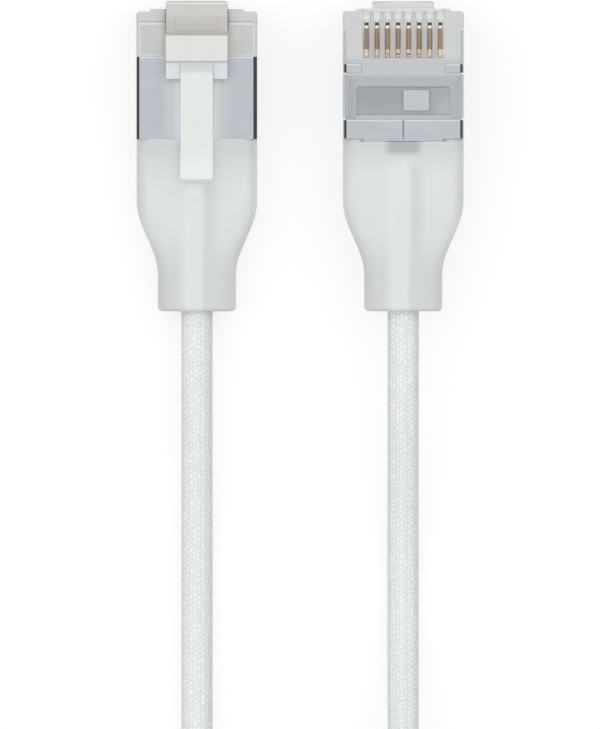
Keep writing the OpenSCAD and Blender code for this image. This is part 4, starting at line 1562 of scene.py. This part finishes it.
@dataclass
class Tie:
    """Hook-and-loop strap round the turns at the back of the coil, with its tail laid over itself."""

    width: float = 3.0
    thickness: float = 0.5
    corner: float = 1.7
    near: float = -98.03
    far: float = -108.02
    top: float = 14.08
    lap: float = 9.0
    lap_thickness: float = 0.42
    lap_inset: float = 0.1
    lap_sink: float = 0.02
    lap_rows: int = 20
    lap_tip: float = 0.35
    sides: int = 24

    def loop(self) -> tuple[np.ndarray, np.ndarray]:
        """Middle line of the strap in the YZ plane, a rectangle with round corners, and its outward normals."""
        half = self.thickness / 2
        y0, y1 = self.far - half, self.near + half
        z0, z1 = self.thickness / 2, self.top + half
        r = self.corner + half
        line, normal = [], []
        for cy, cz, start in ((y1 - r, z1 - r, 0), (y0 + r, z1 - r, 90), (y0 + r, z0 + r, 180), (y1 - r, z0 + r, 270)):
            a = np.radians(start + np.linspace(0, 90, 13))
            line.append(np.stack([cy + r * np.cos(a), cz + r * np.sin(a)], axis=1))
            normal.append(np.stack([np.cos(a), np.sin(a)], axis=1))
        return np.concatenate(line), np.concatenate(normal)

    def flat_ring(self, half_w: float, half_t: float) -> tuple[np.ndarray, np.ndarray]:
        """Cross-section of the strap, a superellipse of exponent 6: its points across it and out of it."""
        return superellipse(around(self.sides), half_w, half_t, 6.0)

    def build(self) -> None:
        """Builds the strap and its lap, which thins over two rows at each end, as one object of two closed skins."""
        line, normal = self.loop()
        across, out = self.flat_ring(self.width / 2, self.thickness / 2)
        x = np.broadcast_to(across, (len(line), self.sides))
        yz = line[:, None, :] + out[None, :, None] * normal[:, None, :]
        strap = np.concatenate([x[..., None], yz], axis=2)
        row = np.arange(self.lap_rows)
        z = np.linspace(self.top * 0.5 + self.lap / 2, self.top * 0.5 - self.lap / 2, self.lap_rows)
        end = np.minimum(1, np.minimum(row, row[::-1]) / 2 + self.lap_tip)
        across, out = self.flat_ring(self.width / 2 - self.lap_inset, self.lap_thickness / 2)
        y_mid = self.far - self.thickness - self.lap_thickness / 2 + self.lap_sink
        lap = np.stack(np.broadcast_arrays(across, y_mid - out * end[:, None], z[:, None]), axis=2)
        first = strap.shape[0] * self.sides
        verts = np.concatenate([strap.reshape(-1, 3), lap.reshape(-1, 3)]) * MM
        faces = grid_faces(len(line), self.sides, True) + capped(lap, first)
        obj = mesh_object("coil_tie_strap", verts, faces, 60.0)
        pile = PlainFinish(
            "strap_pile", (226, 228, 230), spread=7.0, roughness=0.85, grain_scale=(5.0, 5.0, 5.0), grain_depth=0.06
        )
        dress(obj, pile.material(), "tie_strap", "root", "cable_tie")


# ---- The studio ----


@dataclass
class Studio:
    """Pale floor, soft lamps and a long-lens camera straight above the plugs."""

    centre: tuple[float, float] = (0.0, -20.2)
    pixels_per_mm: float = 10.33
    picture_height: float = 729.0
    distance: float = 2.4
    look_level: float = 8.0
    sensor: float = 36.0
    world_low: float = 0.42
    world_high: float = 0.76
    lamp_power: float = 1.3
    lamp_place: Point = (0.42, 0.12, 0.8)
    lamp_size: tuple[float, float] = (0.6, 0.9)
    floor_white: float = 0.8
    shown_floor: float = 0.3
    lamps_return: float = 0.95
    floor_half: float = 1.5
    floor_drop: float = 0.00002

    def add_camera(self) -> None:
        """Camera looking straight down, with +Y up in the picture."""
        data = bpy.data.cameras.new("camera")
        data.sensor_width = self.sensor
        shown = self.picture_height / self.pixels_per_mm
        data.lens = self.sensor * (self.distance / MM - self.look_level) / shown
        data.clip_start, data.clip_end = 0.01, 20.0
        camera = placed("camera", data)
        camera.location = (self.centre[0] * MM, self.centre[1] * MM, self.distance)
        bpy.context.scene.camera = camera

    def add_world(self) -> None:
        """Pale surroundings: radiance low + high m^2, with m the sine of the height, and white where seen."""
        world = bpy.data.worlds.new("studio")
        world.use_nodes = True
        board = NodeBoard(world.node_tree)
        coords = board.add("ShaderNodeTexCoord").outputs["Generated"]
        height = Number(board, board.add("ShaderNodeSeparateXYZ", {0: coords}).outputs[2])
        seen = board.seen()
        soft = height * height * self.world_high + self.world_low
        sky = world.node_tree.nodes["Background"].inputs
        board.put(sky["Color"], (1.0, 1.0, 1.0, 1.0))
        board.put(sky["Strength"], soft * (1.0 - seen) + seen)
        bpy.context.scene.world = world

    def add_lamp(self, name: str, place: Point, size: tuple[float, float], power_w: float) -> None:
        """Adds a rectangular lamp aimed at the middle of the picture.

        Args:
            name: the lamp's name.
            place: where it stands, in metres.
            size: its width and length, in metres.
            power_w: its power in watts.
        """
        data = bpy.data.lights.new(name, "AREA")
        data.shape = "RECTANGLE"
        data.size, data.size_y = size
        data.energy = power_w
        lamp = placed(name, data)
        spot = np.array([self.centre[0] * MM, self.centre[1] * MM, 0.0])
        way = spot - np.array(place)
        lamp.location = place
        pitch = math.atan2(math.hypot(way[0], way[1]), -way[2])
        lamp.rotation_euler = (pitch, 0.0, math.atan2(-way[0], way[1]))
        lamp.visible_camera = lamp.visible_glossy = False

    def add_floor(self) -> None:
        """Pale floor that keeps the soft shadows and looks white to the camera where it is fully lit."""
        half = self.floor_half
        mesh = bpy.data.meshes.new("floor")
        mesh.from_pydata([(-half, -half, 0), (half, -half, 0), (half, half, 0), (-half, half, 0)], [], [(0, 1, 2, 3)])
        floor = placed("floor", mesh)
        floor.location.z = -self.floor_drop
        board = MaterialBoard("floor_white")
        seen = board.seen()
        shown = (self.shown_floor,) * 3 + (1.0,)
        white = board.finish(
            Base_Color=board.mix(seen, (self.floor_white,) * 3 + (1.0,), shown),
            Roughness=0.9,
            Specular_IOR_Level=0.0,
            Emission_Color=(1.0, 1.0, 1.0, 1.0),
            Emission_Strength=seen * (1.0 - self.lamps_return * self.shown_floor),
        )
        mesh.materials.append(white)

    def build(self) -> None:
        """Adds the lamps, the surroundings and the floor, and sets how colours are shown."""
        self.add_world()
        x, y, z = self.lamp_place
        self.add_lamp("left_lamp", (-x, y, z), self.lamp_size, self.lamp_power)
        self.add_lamp("right_lamp", (x, y, z), self.lamp_size, self.lamp_power)
        self.add_floor()
        bpy.context.scene.view_settings.view_transform = "Standard"


def main() -> None:
    """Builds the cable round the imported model."""
    logging.basicConfig(level=logging.INFO, format="%(message)s")
    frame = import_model()
    nodes = frame["nodes"]

    studio = Studio()
    studio.add_camera()
    Cord().build(BraidFinish())
    nose_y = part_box("housing_a")[1].y / MM
    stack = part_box("housing_b")[1].z / MM
    for end in End:
        Plug(PlugPlace(end, PLUG_SPACING, nose_y, stack), nodes).build()
    Tie().build()
    studio.build()


if __name__ == "__main__":
    main()
